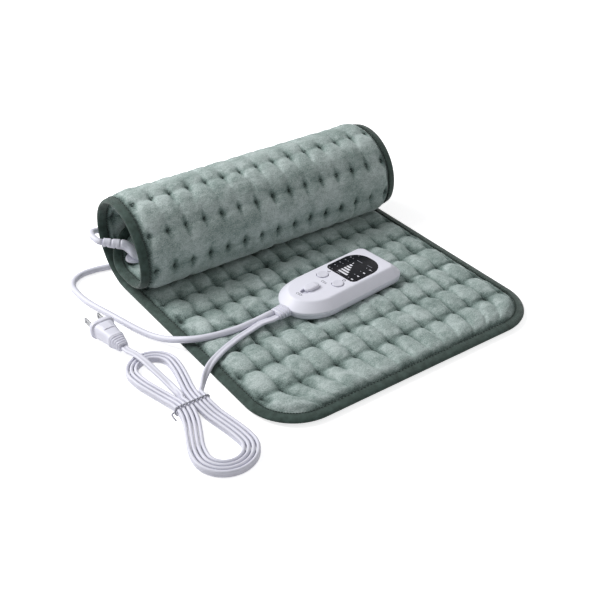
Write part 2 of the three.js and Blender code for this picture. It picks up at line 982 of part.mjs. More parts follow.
function padCordGeometry() {
  const start = gland.tip.clone().addScaledVector(glandTipDirection, cordGap);
  const end = controllerPoint(bootEndU - cordGap, boot.padCordV, boot.centreHeight);
  const points = [
    start,
    start.clone().addScaledVector(glandTipDirection, padCord.diameter / 2),
    ...padCordRoute.map(([x, y, z]) => new THREE.Vector3(x, y, z)),
    end.clone().addScaledVector(controllerAxis, -padCord.diameter),
    end,
  ];
  const curve = new THREE.CatmullRomCurve3(points, false, "centripetal");
  console.log(`pad cord length ${curve.getLength().toFixed(0)} mm`);
  const shape = new THREE.Shape(
    ellipseSection(padCord.diameter / 2, padCord.diameter / 2, padCord.sides).map(
      ([a, b]) => new THREE.Vector2(a, b),
    ),
  );
  return new THREE.ExtrudeGeometry(shape, {
    steps: padCord.steps,
    extrudePath: curve,
    bevelEnabled: false,
  });
}

function turned(section, degrees) {
  const turn = radians(degrees);
  return section.map(([a, b]) => [
    a * Math.cos(turn) - b * Math.sin(turn),
    a * Math.sin(turn) + b * Math.cos(turn),
  ]);
}

function rectangleSection(width, thickness) {
  const [a, b] = [width / 2, thickness / 2];
  return [
    [a, -b],
    [a, b],
    [-a, b],
    [-a, -b],
  ];
}

// The flat cord's section: six corners, wider than thick
function flatSection() {
  const halfWidth = powerCord.width / 2;
  const halfThick = powerCord.thickness / 2;
  const shoulder = halfWidth - halfThick;
  return [
    [halfWidth, 0],
    [shoulder, halfThick],
    [-shoulder, halfThick],
    [-halfWidth, 0],
    [-shoulder, -halfThick],
    [shoulder, -halfThick],
  ];
}

function flatCordGeometry(route) {
  const curve = new THREE.CatmullRomCurve3(
    route.map(([x, y, z]) => new THREE.Vector3(x, y, z)),
    false,
    "centripetal",
  );
  const steps = Math.ceil(curve.getLength() / powerCord.step);
  const rings = [];
  for (let k = 0; k <= steps; k++) {
    const share = curve.getUtoTmapping(k / steps);
    const place = share * (route.length - 1);
    const low = Math.min(Math.floor(place), route.length - 2);
    const turn = THREE.MathUtils.lerp(route[low][3], route[low + 1][3], place - low);
    const frame = frameAt(curve.getPoint(share), curve.getTangent(share));
    rings.push(ringAt(frame, turned(flatSection(), turn)));
  }
  console.log(`flat cord length ${curve.getLength().toFixed(0)} mm`);
  return loft(rings);
}

// Half of the bundle's width at the waist, between the outermost strands' centres
const waistHalf = (hank.pitch * (2 * hank.lowerTurns - 1)) / 2;
const strandHeight = hank.floorGap + powerCord.width / 2;

function strandPoint(x, y) {
  const away = Math.abs(y - hank.waistCentre.y) / hank.tieLiftReach;
  return new THREE.Vector3(x, y, strandHeight + hank.tieLift * (1 - smooth(away)));
}

// A flank from a loop's end to the waist. offset is how far inwards the strand lies.
function flankPoint(centre, radius, side, share, offset) {
  const startX = centre.x + side * radius;
  const endX = hank.waistCentre.x + side * waistHalf;
  const slopeShare = (6 * share * (1 - share) * (endX - startX)) / (hank.waistCentre.y - centre.y);
  const inward = offset * Math.hypot(1, slopeShare);
  return strandPoint(
    THREE.MathUtils.lerp(startX, endX, smooth(share)) - side * inward,
    THREE.MathUtils.lerp(centre.y, hank.waistCentre.y, share),
  );
}

// How far along the upper flanks the hank's two ends lie, and a place a distance beyond them
function endShare(beyond) {
  return flankShares.at(-1) - beyond / (hank.upperCentre.y - hank.waistCentre.y);
}

// The strand before the first waist
function hankStart(beyond) {
  const share = endShare(beyond);
  const offset = hank.pitch * (smooth(share) - 1);
  return flankPoint(hank.upperCentre, hank.upperRadius, 1, share, offset);
}

// The strand after the last waist
function hankFinish(beyond) {
  const share = endShare(beyond);
  const innermost = (hank.lowerTurns - 1) * hank.pitch;
  return flankPoint(hank.upperCentre, hank.upperRadius, -1, share, innermost);
}

function hankPoints() {
  const points = [];
  const flank = (centre, radius, side, outwards, offsetAt) => {
    for (const share of outwards ? flankShares.toReversed() : flankShares) {
      points.push(flankPoint(centre, radius, side, share, offsetAt(share)));
    }
  };
  const arc = (centre, radius, first) => {
    for (let k = 0; k <= hank.arcSteps; k++) {
      const angle = first - (Math.PI * k) / hank.arcSteps;
      points.push(
        strandPoint(centre.x + radius * Math.cos(angle), centre.y + radius * Math.sin(angle)),
      );
    }
  };
  const waist = (side, offset) =>
    points.push(strandPoint(hank.waistCentre.x + side * (waistHalf - offset), hank.waistCentre.y));
  points.push(hankStart(0));
  for (let turn = 0; turn < hank.lowerTurns; turn++) {
    const offset = turn * hank.pitch;
    const steady = () => offset;
    waist(1, offset);
    flank(hank.lowerCentre, hank.lowerRadius, 1, true, steady);
    arc(hank.lowerCentre, hank.lowerRadius - offset, 0);
    flank(hank.lowerCentre, hank.lowerRadius, -1, false, steady);
    waist(-1, offset);
    if (turn < hank.lowerTurns - 1) {
      flank(hank.upperCentre, hank.upperRadius, -1, true, steady);
      arc(hank.upperCentre, hank.upperRadius - offset, Math.PI);
      const closing = (share) => offset + hank.pitch * smooth(share);
      flank(hank.upperCentre, hank.upperRadius, 1, false, closing);
    }
  }
  points.push(hankFinish(0));
  return points;
}

function hankGeometry() {
  const points = hankPoints();
  let length = 0;
  for (let k = 1; k < points.length; k++) length += points[k].distanceTo(points[k - 1]);
  console.log(`hank length ${length.toFixed(0)} mm`);
  console.log(`hank least gap to itself ${leastGap(points).toFixed(2)} mm`);
  const section = turned(flatSection(), 90);
  const rings = points.map((point, k) => {
    const before = points[Math.max(k - 1, 0)];
    const after = points[Math.min(k + 1, points.length - 1)];
    const tangent = new THREE.Vector3().subVectors(after, before).normalize();
    return ringAt(frameAt(point, tangent), section);
  });
  return loft(rings);
}

// The least distance between strands that aren't next to each other along the cord, less one
// thickness, measured between points close together on the straight steps.
function leastGap(points) {
  const fine = [];
  const perStep = 6;
  let run = 0;
  for (let k = 1; k < points.length; k++) {
    for (let i = 0; i < perStep; i++) {
      fine.push({
        point: new THREE.Vector3().lerpVectors(points[k - 1], points[k], i / perStep),
        run: run + (points[k].distanceTo(points[k - 1]) * i) / perStep,
      });
    }
    run += points[k].distanceTo(points[k - 1]);
  }
  let least = Infinity;
  for (const a of fine) {
    for (const b of fine) {
      if (b.run - a.run < hank.lowerRadius) continue;
      least = Math.min(least, a.point.distanceTo(b.point));
    }
  }
  return least - powerCord.thickness;
}

function powerLeadGeometry() {
  const start = controllerPoint(bootEndU - cordGap, boot.powerCordV, boot.centreHeight);
  const runOut = start.clone().addScaledVector(controllerAxis, -powerCord.width);
  const above = hankStart(cordGap + powerCord.thickness);
  const join = hankStart(cordGap);
  return flatCordGeometry([
    [...start.toArray(), 0],
    [...runOut.toArray(), 0],
    ...powerLeadRoute,
    [...above.toArray(), 90],
    [...join.toArray(), 90],
  ]);
}

const plugTurn = radians(plug.turnDegrees);
const plugAxis = new THREE.Vector3(-Math.sin(plugTurn), Math.cos(plugTurn), 0);

function plugLeadGeometry() {
  const join = hankFinish(cordGap);
  const above = hankFinish(cordGap + powerCord.thickness);
  const end = plug.cordEnd.clone().addScaledVector(plugAxis, -cordGap);
  const before = end.clone().addScaledVector(plugAxis, -powerCord.width);
  return flatCordGeometry([
    [...join.toArray(), 90],
    [...above.toArray(), 90],
    ...plugLeadRoute,
    [...before.toArray(), 0],
    [...end.toArray(), 0],
  ]);
}

function tieGeometry() {
  const halfWidth = waistHalf + powerCord.thickness / 2 + tie.clearance;
  const bottom = strandHeight + hank.tieLift - powerCord.width / 2 - tie.clearance;
  const top = bottom + powerCord.width + 2 * tie.clearance;
  const x = hank.waistCentre.x;
  const y = hank.waistCentre.y;
  const low = new THREE.Vector3(x - halfWidth, y - tie.width / 2, bottom);
  const high = new THREE.Vector3(x + halfWidth, y + tie.width / 2, top);
  const wrap = new THREE.Vector3(tie.thickness, 0, tie.thickness);
  const outer = boxSolid(low.clone().sub(wrap), high.clone().add(wrap));
  const tailSection = rectangleSection(tie.tailWidth, tie.tailThickness);
  const through = new THREE.Vector3(0, overrun, 0);
  const ring = outer.subtract(boxSolid(low.clone().sub(through), high.clone().add(through)));
  const rootX = x - halfWidth - tie.thickness / 2;
  const height = (bottom + top) / 2;
  const curve = new THREE.QuadraticBezierCurve3(
    new THREE.Vector3(rootX, y, height),
    new THREE.Vector3(rootX - tie.tailOut, y, height - tie.tailDrop / 2),
    new THREE.Vector3(rootX - tie.tailOut, y - tie.tailForward, height - tie.tailDrop),
  );
  const rings = [];
  for (let k = 0; k <= tie.tailSteps; k++) {
    const share = k / tie.tailSteps;
    const turn = 90 + 360 * tieTailTurns * share;
    const frame = frameAt(curve.getPoint(share), curve.getTangent(share));
    rings.push(ringAt(frame, turned(tailSection, turn)));
  }
  return geometryFrom(ring.add(solidOf(loft(rings))));
}

// Plug

function plugRing(run, width, height, corner) {
  return roundedRectangle(0, 0, width, height, corner, plug.cornerSteps).map(
    (p) => new THREE.Vector3(p.x, run, p.y),
  );
}

function plugBodyGeometry() {
  const relief = plug.reliefLength;
  const pitch = relief / (plug.ribs + 0.5);
  const rings = [];
  const reliefSize = (run) => {
    const share = run / relief;
    return [
      THREE.MathUtils.lerp(plug.reliefEndWidth, plug.collarWidth, share),
      THREE.MathUtils.lerp(plug.reliefEndHeight, plug.collarHeight, share),
    ];
  };
  const addRelief = (run, depth) => {
    const [width, height] = reliefSize(run);
    const corner = Math.min(plug.bodyCorner, height / 2) - depth;
    rings.push(plugRing(run, width - 2 * depth, height - 2 * depth, corner));
  };
  addRelief(0, 0);
  for (let k = 0; k < plug.ribs; k++) {
    const run = (k + 0.5) * pitch;
    addRelief(run, 0);
    addRelief(run, plug.ribDepth);
    addRelief(run + pitch / 2, plug.ribDepth);
    addRelief(run + pitch / 2, 0);
  }
  const collarEnd = relief + plug.collarLength;
  const bodyEnd = collarEnd + plug.bodyLength;
  rings.push(plugRing(relief, plug.collarWidth, plug.collarHeight, plug.bodyCorner));
  rings.push(plugRing(collarEnd, plug.collarWidth, plug.collarHeight, plug.bodyCorner));
  rings.push(plugRing(bodyEnd, plug.bodyWidth, plug.bodyHeight, plug.bodyCorner));
  rings.push(plugRing(bodyEnd, plug.flangeWidth, plug.flangeHeight, plug.flangeCorner));
  const front = bodyEnd + plug.flangeThickness;
  rings.push(plugRing(front, plug.flangeWidth, plug.flangeHeight, plug.flangeCorner));
  let solid = solidOf(loft(rings));
  for (const sign of [-1, 1]) {
    const x = (sign * blade.spacing) / 2;
    const half = new THREE.Vector2(
      blade.thickness / 2 + blade.clearance,
      blade.width / 2 + blade.clearance,
    );
    solid = solid.subtract(
      boxSolid(
        new THREE.Vector3(x - half.x, front - blade.rootDepth - blade.clearance, -half.y),
        new THREE.Vector3(x + half.x, front + overrun, half.y),
      ),
    );
    const faceZ = (sign * plug.collarHeight) / 2;
    const reach = sign * plug.bodyHeight;
    solid = solid.subtract(
      boxSolid(
        new THREE.Vector3(
          -plug.panelWidth / 2,
          bodyEnd - plug.panelLength - plug.panelDepth,
          Math.min(faceZ, reach) + (sign > 0 ? plug.panelDepth : 0),
        ),
        new THREE.Vector3(
          plug.panelWidth / 2,
          bodyEnd - plug.panelDepth,
          Math.max(faceZ, reach) - (sign > 0 ? 0 : plug.panelDepth),
        ),
      ),
    );
  }
  return geometryFrom(solid);
}

function bladeGeometry(sign) {
  const front = plug.reliefLength + plug.collarLength + plug.bodyLength + plug.flangeThickness;
  const root = front - blade.rootDepth;
  const tip = front + blade.reach;
  const half = blade.width / 2;
  const shape = new THREE.Shape([
    new THREE.Vector2(root, -half),
    new THREE.Vector2(tip - blade.tipChamfer, -half),
    new THREE.Vector2(tip, blade.tipChamfer - half),
    new THREE.Vector2(tip, half - blade.tipChamfer),
    new THREE.Vector2(tip - blade.tipChamfer, half),
    new THREE.Vector2(root, half),
  ]);
  const hole = new THREE.Path();
  hole.absarc(tip - blade.holeFromTip, 0, blade.holeRadius, 0, Math.PI * 2, true);
  shape.holes.push(hole);
  const geometry = new THREE.ExtrudeGeometry(shape, {
    depth: blade.thickness,
    bevelEnabled: false,
    curveSegments: 6,
  });
  // The outline's length lies along Y, its width along Z and its thickness along X.
  const turn = new THREE.Matrix4().makeBasis(
    new THREE.Vector3(0, 1, 0),
    new THREE.Vector3(0, 0, 1),
    new THREE.Vector3(1, 0, 0),
  );
  geometry.applyMatrix4(turn);
  geometry.translate((sign * blade.spacing) / 2 - blade.thickness / 2, 0, 0);
  return geometry;
}

// Controller housing

// The outline seen from above, set in by a distance: rounded corners at one end and half an
// ellipse at the cord end
function caseOutline(inset) {
  const points = [];
  const halfLength = controller.length / 2;
  const halfWidth = controller.width / 2;
  const corner = controller.cornerRadius;
  const arc = (cu, cv, ru, rv, first, sweep, steps) => {
    for (let k = 0; k <= steps; k++) {
      const angle = first + (sweep * k) / steps;
      points.push(new THREE.Vector2(cu + ru * Math.cos(angle), cv + rv * Math.sin(angle)));
    }
  };
  const round = corner - inset;
  const quarter = Math.PI / 2;
  const cornerU = halfLength - corner;
  const cornerV = halfWidth - corner;
  arc(cornerU, -cornerV, round, round, -quarter, quarter, controller.cornerSteps);
  arc(cornerU, cornerV, round, round, 0, quarter, controller.cornerSteps);
  arc(
    controller.taperLength - halfLength,
    0,
    controller.taperLength - inset,
    halfWidth - inset,
    quarter,
    Math.PI,
    controller.taperSteps,
  );
  return points;
}

function caseSolid(levels) {
  return solidOf(
    loft(levels.map(([w, inset]) => caseOutline(inset).map((p) => new THREE.Vector3(p.x, p.y, w)))),
  );
}

// A slot with round ends along u
function slotOutline(left, right, width) {
  const radius = width / 2;
  const points = [];
  for (let k = 0; k <= slider.ends; k++) {
    const angle = (Math.PI * k) / slider.ends - Math.PI / 2;
    const p = [radius * Math.cos(angle), radius * Math.sin(angle)];
    points.push(new THREE.Vector2(right - radius + p[0], p[1]));
  }
  for (let k = 0; k <= slider.ends; k++) {
    const angle = (Math.PI * k) / slider.ends + Math.PI / 2;
    const p = [radius * Math.cos(angle), radius * Math.sin(angle)];
    points.push(new THREE.Vector2(left + radius + p[0], p[1]));
  }
  return points;
}

// The display's outline: small corners towards the buttons and large ones at the far end
function displayOutline(inset) {
  const points = [];
  const corner = (u, v, radius, first) => {
    for (let k = 0; k <= display.cornerSteps; k++) {
      const angle = first + ((Math.PI / 2) * k) / display.cornerSteps;
      const r = radius - inset;
      points.push(new THREE.Vector2(u + r * Math.cos(angle), v + r * Math.sin(angle)));
    }
  };
  const rightU = display.right - display.rightCorner;
  const rightV = display.halfWidth - display.rightCorner;
  const leftU = display.left + display.leftCorner;
  const leftV = display.halfWidth - display.leftCorner;
  corner(rightU, -rightV, display.rightCorner, -Math.PI / 2);
  corner(rightU, rightV, display.rightCorner, 0);
  corner(leftU, leftV, display.leftCorner, Math.PI / 2);
  corner(leftU, -leftV, display.leftCorner, Math.PI);
  return points;
}

const ceiling = controller.height - controller.wall;

function bootHole(spare) {
  const outline = roundedRectangle(
    0,
    boot.centreHeight,
    boot.neckWidth + 2 * spare,
    boot.neckHeight + 2 * spare,
    boot.neckHeight / 2,
    boot.cornerSteps,
  );
  const from = -controller.length / 2 - overrun;
  const to = from + 2 * overrun + controller.wall + boot.neckLength;
  return [outline, from, to];
}

function bootHoleSolid() {
  const [outline, from, to] = bootHole(boot.clearance);
  const rings = [from, to].map((u) => outline.map((p) => new THREE.Vector3(u, p.x, p.y)));
  return solidOf(loft(rings));
}

function topShellGeometry() {
  const { partingHeight, shoulderHeight, bevelTopHeight, bevelInset, height } = controller;
  const { edgeRound, wall } = controller;
  const outer = caseSolid([
    [partingHeight, edgeRound / 2],
    [partingHeight + edgeRound, 0],
    [shoulderHeight, edgeRound / 3],
    [bevelTopHeight, bevelInset],
    [height - edgeRound / 3, bevelInset + edgeRound],
    [height, bevelInset + 2.5 * edgeRound],
  ]);
  const cavity = caseSolid([
    [partingHeight - overrun, wall + edgeRound / 2],
    [shoulderHeight - edgeRound / 3, wall + edgeRound / 3],
    [bevelTopHeight - wall, bevelInset + wall / 2],
    [ceiling, bevelInset + 2.5 * edgeRound],
  ]);
  let shell = outer.subtract(cavity);
  for (const [u, v] of screw.places) {
    const low = screw.bossTop + screw.gap;
    const post = postSolid(u, v, screw.postRadius, low, controller.height, screw.sides);
    shell = shell.add(post.intersect(outer));
    const top = screw.pilotTop;
    shell = shell.subtract(postSolid(u, v, screw.boreRadius, low - overrun, top, screw.sides));
  }
  const pocketFloor = height + display.proud - display.thickness - display.clearance;
  const pocket = plateSolid(displayOutline(-display.clearance), pocketFloor, height + overrun);
  const opening = plateSolid(displayOutline(display.ledge), ceiling - overrun, height);
  shell = shell.subtract(pocket).subtract(opening);
  const reach = slider.neckLength / 2 + slider.travel + slider.slotSpare;
  const slot = slotOutline(
    slider.u - Math.max(reach, slider.capLength / 2 + slider.travel),
    slider.u + slider.capLength / 2,
    slider.slotWidth,
  );
  shell = shell.subtract(plateSolid(slot, ceiling - overrun, height + overrun));
  for (const v of [button.v, -button.v]) {
    const radius = button.radius + button.clearance;
    const low = ceiling - overrun;
    shell = shell.subtract(
      postSolid(button.u, v, radius, low, height + overrun, button.sides),
    );
  }
  return geometryFrom(shell.subtract(bootHoleSolid()));
}

function bottomShellGeometry() {
  const { partingHeight, partingGap, edgeRound, wall } = controller;
  const top = partingHeight - partingGap;
  const outer = caseSolid([
    [0, 2.5 * edgeRound],
    [edgeRound, edgeRound],
    [top, edgeRound / 3],
  ]);
  const cavity = caseSolid([
    [floorThickness, 2.5 * edgeRound + wall],
    [floorThickness + edgeRound, edgeRound + wall],
    [top + overrun, edgeRound / 3 + wall],
  ]);
  let shell = outer.subtract(cavity);
  for (const [u, v] of screw.places) {
    shell = shell.add(postSolid(u, v, screw.bossRadius, 0, screw.bossTop, screw.sides));
    const recess = screw.recessRadius;
    shell = shell.subtract(postSolid(u, v, recess, -overrun, screw.recessDepth, screw.sides));
    const high = screw.bossTop + overrun;
    shell = shell.subtract(postSolid(u, v, screw.boreRadius, 0, high, screw.sides));
  }
  for (const [u, v] of boardPillars) {
    const high = board.bottom - board.partGap;
    shell = shell.add(postSolid(u, v, board.pillarRadius, floorThickness / 2, high, screw.sides));
  }
  return geometryFrom(shell.subtract(bootHoleSolid()));
}

function bootGeometry() {
  const w = boot.centreHeight;
  const ring = (u, width, height) =>
    roundedRectangle(0, w, width, height, height / 2, boot.cornerSteps).map(
      (p) => new THREE.Vector3(u, p.x, p.y),
    );
  const face = -controller.length / 2;
  const outerEnd = bootEndU;
  const inner = face + boot.neckLength;
  const start = face - boot.clearance;
  const pitch = (start - outerEnd) / (boot.ribs + 0.5);
  const rings = [ring(outerEnd, boot.endWidth, boot.endHeight)];
  for (let k = 0; k < boot.ribs; k++) {
    const u = outerEnd + (k + 0.5) * pitch;
    const share = (k + 0.5) / (boot.ribs + 0.5);
    const width = THREE.MathUtils.lerp(boot.endWidth, boot.width, share);
    const height = THREE.MathUtils.lerp(boot.endHeight, boot.height, share);
    const cut = 2 * boot.grooveDepth;
    rings.push(ring(u, width, height));
    rings.push(ring(u, width - cut, height - cut));
    rings.push(ring(u + pitch / 3, width - cut, height - cut));
    rings.push(ring(u + pitch / 3, width, height));
  }
  rings.push(ring(start, boot.width, boot.height));
  rings.push(ring(start, boot.neckWidth, boot.neckHeight));
  rings.push(ring(inner, boot.neckWidth, boot.neckHeight));
  const flangeWidth = boot.neckWidth + boot.innerFlange;
  rings.push(ring(inner, flangeWidth, boot.neckHeight));
  rings.push(ring(inner + boot.innerFlangeLength, flangeWidth, boot.neckHeight));
  return loft(rings);
}

// Controls

function buttonGeometry(v) {
  const flangeTop = ceiling - button.restGap;
  const flangeLow = flangeTop - button.flangeThickness;
  const boardTop = board.bottom + board.thickness;
  const stemEnd = boardTop + board.partGap + tactSwitch.height + button.stemGap;
  const top = controller.height + button.proud;
  const profile = [
    [0, stemEnd],
    [button.stemRadius, stemEnd],
    [button.stemRadius, flangeLow],
    [button.flangeRadius, flangeLow],
    [button.flangeRadius, flangeTop],
    [button.radius, flangeTop],
    [button.radius, top - button.crownRound],
    [button.radius - button.crownRound, top],
    [0, top],
  ].map(([r, w]) => new THREE.Vector2(r, w));
  const geometry = new THREE.LatheGeometry(profile, button.sides);
  geometry.rotateX(Math.PI / 2);
  geometry.translate(button.u, v, 0);
  return geometry;
}

function sliderGeometry() {
  const low = controller.height + slider.runGap;
  const high = low + slider.capHeight;
  const halfCap = slider.capLength / 2;
  const capRing = (w, inset) =>
    slotOutline(
      slider.u - halfCap + inset,
      slider.u + halfCap - inset,
      slider.capWidth - 2 * inset,
    ).map((p) => new THREE.Vector3(p.x, p.y, w));
  const round = slider.capRound;
  let solid = solidOf(
    loft([capRing(low, 0), capRing(high - round, round / 4), capRing(high, round)]),
  );
  const firstRidge = slider.u - (slider.ridgePitch * (slider.ridges - 1)) / 2;
  for (let k = 0; k < slider.ridges; k++) {
    const u = firstRidge + k * slider.ridgePitch;
    const halfRidge = slider.ridgeWidth / 2;
    const halfAcross = slider.capWidth / 2 - slider.ridgeInset;
    solid = solid.add(
      boxSolid(
        new THREE.Vector3(u - halfRidge, -halfAcross, low + round),
        new THREE.Vector3(u + halfRidge, halfAcross, high + slider.ridgeHeight),
      ),
    );
  }
  const plateTop = ceiling - slider.runGap;
  const plateLow = plateTop - slider.plateThickness;
  const half = slider.plateLength / 2;
  solid = solid
    .add(
      boxSolid(
        new THREE.Vector3(slider.u - slider.neckLength / 2, -slider.neckWidth / 2, plateLow),
        new THREE.Vector3(slider.u + slider.neckLength / 2, slider.neckWidth / 2, low + round),
      ),
    )
    .add(
      boxSolid(
        new THREE.Vector3(slider.u - half, -slider.plateWidth / 2, plateLow),
        new THREE.Vector3(slider.u + half, slider.plateWidth / 2, plateTop),
      ),
    );
  return geometryFrom(solid);
}

function blockGeometry(u, v, length, width, low, high) {
  const geometry = new THREE.BoxGeometry(length, width, high - low);
  geometry.translate(u, v, (low + high) / 2);
  return geometry;
}

// What lies inside the controller

function circuitBoardGeometry() {
  const outline = [
    [board.left, -board.neckHalfWidth],
    [board.neckU, -board.neckHalfWidth],
    [board.neckU, -board.halfWidth],
    [board.right, -board.halfWidth],
    [board.right, board.halfWidth],
    [board.neckU, board.halfWidth],
    [board.neckU, board.neckHalfWidth],
    [board.left, board.neckHalfWidth],
  ].map(([u, v]) => new THREE.Vector2(u, v));
  return geometryFrom(plateSolid(outline, board.bottom, board.bottom + board.thickness));
}

function triacGeometry(low) {
  const body = boxSolid(
    new THREE.Vector3(triac.u - triac.width / 2, triac.v - triac.length / 2, low),
    new THREE.Vector3(
      triac.u + triac.width / 2,
      triac.v + triac.length / 2 - triac.tabLength,
      low + triac.thickness,
    ),
  );
  const tab = boxSolid(
    new THREE.Vector3(triac.u - triac.width / 2, triac.v - triac.length / 2, low),
    new THREE.Vector3(
      triac.u + triac.width / 2,
      triac.v + triac.length / 2,
      low + triac.tabThickness,
    ),
  );
  return geometryFrom(body.add(tab));
}

function fuseGeometry(low) {
  const half = fuse.length / 2;
  const profile = [
    [0, -half],
    [fuse.capRadius, -half],
    [fuse.capRadius, fuse.capLength - half],
    [fuse.radius, fuse.capLength - half],
    [fuse.radius, half - fuse.capLength],
    [fuse.capRadius, half - fuse.capLength],
    [fuse.capRadius, half],
    [0, half],
  ].map(([r, y]) => new THREE.Vector2(r, y));
  const geometry = new THREE.LatheGeometry(profile, fuse.sides);
  geometry.translate(fuse.u, fuse.v, low + fuse.capRadius);
  return geometry;
}

function screwGeometry(u, v) {
  const headTop = screw.recessDepth - screw.gap;
  const headLow = headTop - screw.headHeight;
  const head = postSolid(u, v, screw.headRadius, headLow, headTop, screw.sides);
  const shank = postSolid(u, v, screw.shankRadius, headTop - screw.gap, screw.shankTop, screw.sides);
  const half = screw.slotWidth / 2;
  const slot = boxSolid(
    new THREE.Vector3(u - screw.headRadius, v - half, headLow - overrun),
    new THREE.Vector3(u + screw.headRadius, v + half, headLow + screw.slotDepth),
  );
  return geometryFrom(head.add(shank).subtract(slot));
}

// Assembly

const padGroup = new THREE.Group();
padGroup.add(
  meshOf(
    "pad_top_cover",
    coverGeometry(1, quilt.topCreaseHeight, quilt.topCrownHeight),
    colours.plush,
    0.95,
  ),
  meshOf(
    "pad_bottom_cover",
    coverGeometry(-1, quilt.bottomCreaseHeight, quilt.bottomCrownHeight),
    colours.plush,
    0.95,
  ),
  meshOf("edge_binding", bindingGeometry(), colours.bindingTape, 0.9),
  meshOf("wire_carrier", carrierGeometry(), colours.carrier, 0.9),
  meshOf("heating_wire", wireGeometry(), colours.wire, 0.6),
);

const cordGroup = new THREE.Group();
cordGroup.add(
  meshOf("pad_gland", glandGeometry(), colours.whiteCord, 0.5),
  meshOf("pad_cord", padCordGeometry(), colours.whiteCord, 0.45),
  meshOf("power_cord_lead", powerLeadGeometry(), colours.whiteCord, 0.45),
  meshOf("power_cord_hank", hankGeometry(), colours.whiteCord, 0.45),
  meshOf("plug_lead", plugLeadGeometry(), colours.whiteCord, 0.45),
  meshOf("cord_tie", tieGeometry(), colours.tieGrey, 0.5),
);

const plugGroup = new THREE.Group();
plugGroup.add(
  meshOf("plug_body", plugBodyGeometry(), colours.whitePlastic, 0.4),
  meshOf("plug_blade_left", bladeGeometry(-1), colours.metal, 0.3, 1),
  meshOf("plug_blade_right", bladeGeometry(1), colours.metal, 0.3, 1),
);
plugGroup.position.copy(plug.cordEnd);
plugGroup.rotation.z = plugTurn;

const boardTop = board.bottom + board.thickness;
const partLow = boardTop + board.partGap;
const displayBoardTop = ceiling - display.boardGap;
const displayBoardLow = displayBoardTop - display.boardThickness;
const displayMiddle = (display.left + display.right) / 2;
const tactTop = partLow + tactSwitch.height;
const sliderPlateLow = ceiling - slider.runGap - slider.plateThickness;
const windowTop = controller.height + display.proud;

const controllerGroup = new THREE.Group();
controllerGroup.add(
  meshOf("controller_top_shell", topShellGeometry(), colours.whitePlastic, 0.35),
  meshOf("controller_bottom_shell", bottomShellGeometry(), colours.whitePlastic, 0.4),
  meshOf("controller_boot", bootGeometry(), colours.whiteCord, 0.5),
  meshOf(
    "display_window",
    geometryFrom(plateSolid(displayOutline(0), windowTop - display.thickness, windowTop)),
    colours.lens,
    0.12,
  ),
  meshOf(
    "display_board",
    blockGeometry(
      displayMiddle,
      0,
      display.boardLength,
      display.boardWidth,
      displayBoardLow,
      displayBoardTop,
    ),
    colours.boardGreen,
    0.6,
  ),
  meshOf(
    "display_header",
    blockGeometry(
      displayMiddle,
      display.headerV,
      display.headerLength,
      display.headerWidth,
      partLow,
      displayBoardLow - board.partGap,
    ),
    colours.switchBlack,
    0.6,
  ),
  meshOf("circuit_board", circuitBoardGeometry(), colours.boardGreen, 0.6),
  meshOf("heat_button", buttonGeometry(button.v), colours.whitePlastic, 0.35),
  meshOf("timer_button", buttonGeometry(-button.v), colours.whitePlastic, 0.35),
  meshOf("power_slider", sliderGeometry(), colours.whitePlastic, 0.35),
  meshOf(
    "heat_tact_switch",
    blockGeometry(button.u, button.v, tactSwitch.size, tactSwitch.size, partLow, tactTop),
    colours.switchBlack,
    0.5,
  ),
  meshOf(
    "timer_tact_switch",
    blockGeometry(button.u, -button.v, tactSwitch.size, tactSwitch.size, partLow, tactTop),
    colours.switchBlack,
    0.5,
  ),
  meshOf(
    "slide_switch_body",
    blockGeometry(
      slider.u - slider.travel / 2,
      0,
      slideSwitch.length,
      slideSwitch.width,
      partLow,
      partLow + slideSwitch.height,
    ),
    colours.switchBlack,
    0.5,
  ),
  meshOf(
    "slide_switch_lever",
    blockGeometry(
      slider.u,
      0,
      slideSwitch.leverLength,
      slideSwitch.leverWidth,
      partLow + slideSwitch.height + board.partGap,
      sliderPlateLow - board.partGap,
    ),
    colours.metal,
    0.4,
    1,
  ),
  meshOf("triac", triacGeometry(partLow), colours.switchBlack, 0.5),
  meshOf("fuse", fuseGeometry(partLow), colours.metal, 0.3),
  meshOf(
    "capacitor",
    blockGeometry(
      capacitor.u,
      capacitor.v,
      capacitor.length,
      capacitor.width,
      partLow,
      partLow + capacitor.height,
    ),
    colours.capacitorYellow,
    0.5,
  ),
);
screw.places.forEach(([u, v], k) => {
  controllerGroup.add(meshOf(`case_screw_${k + 1}`, screwGeometry(u, v), colours.metal, 0.3, 1));
});
controllerGroup.position.set(controller.centre.x, controller.centre.y, controllerBase);
controllerGroup.rotation.z = controllerTurn;

// The origin lies on the floor under the middle of the pad.
const heatingPad = new THREE.Group();
heatingPad.add(padGroup, cordGroup, plugGroup, controllerGroup);
const padBox = new THREE.Box3().setFromObject(padGroup);
const padMiddle = padBox.getCenter(new THREE.Vector3());
heatingPad.position.set(-padMiddle.x, -padMiddle.y, 0);
console.log(`front edge to origin ${padMiddle.y.toFixed(3)} mm`);

export default heatingPad;
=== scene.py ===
import bisect
import math

import bmesh
import bpy
from mathutils import Matrix, Vector, kdtree, noise


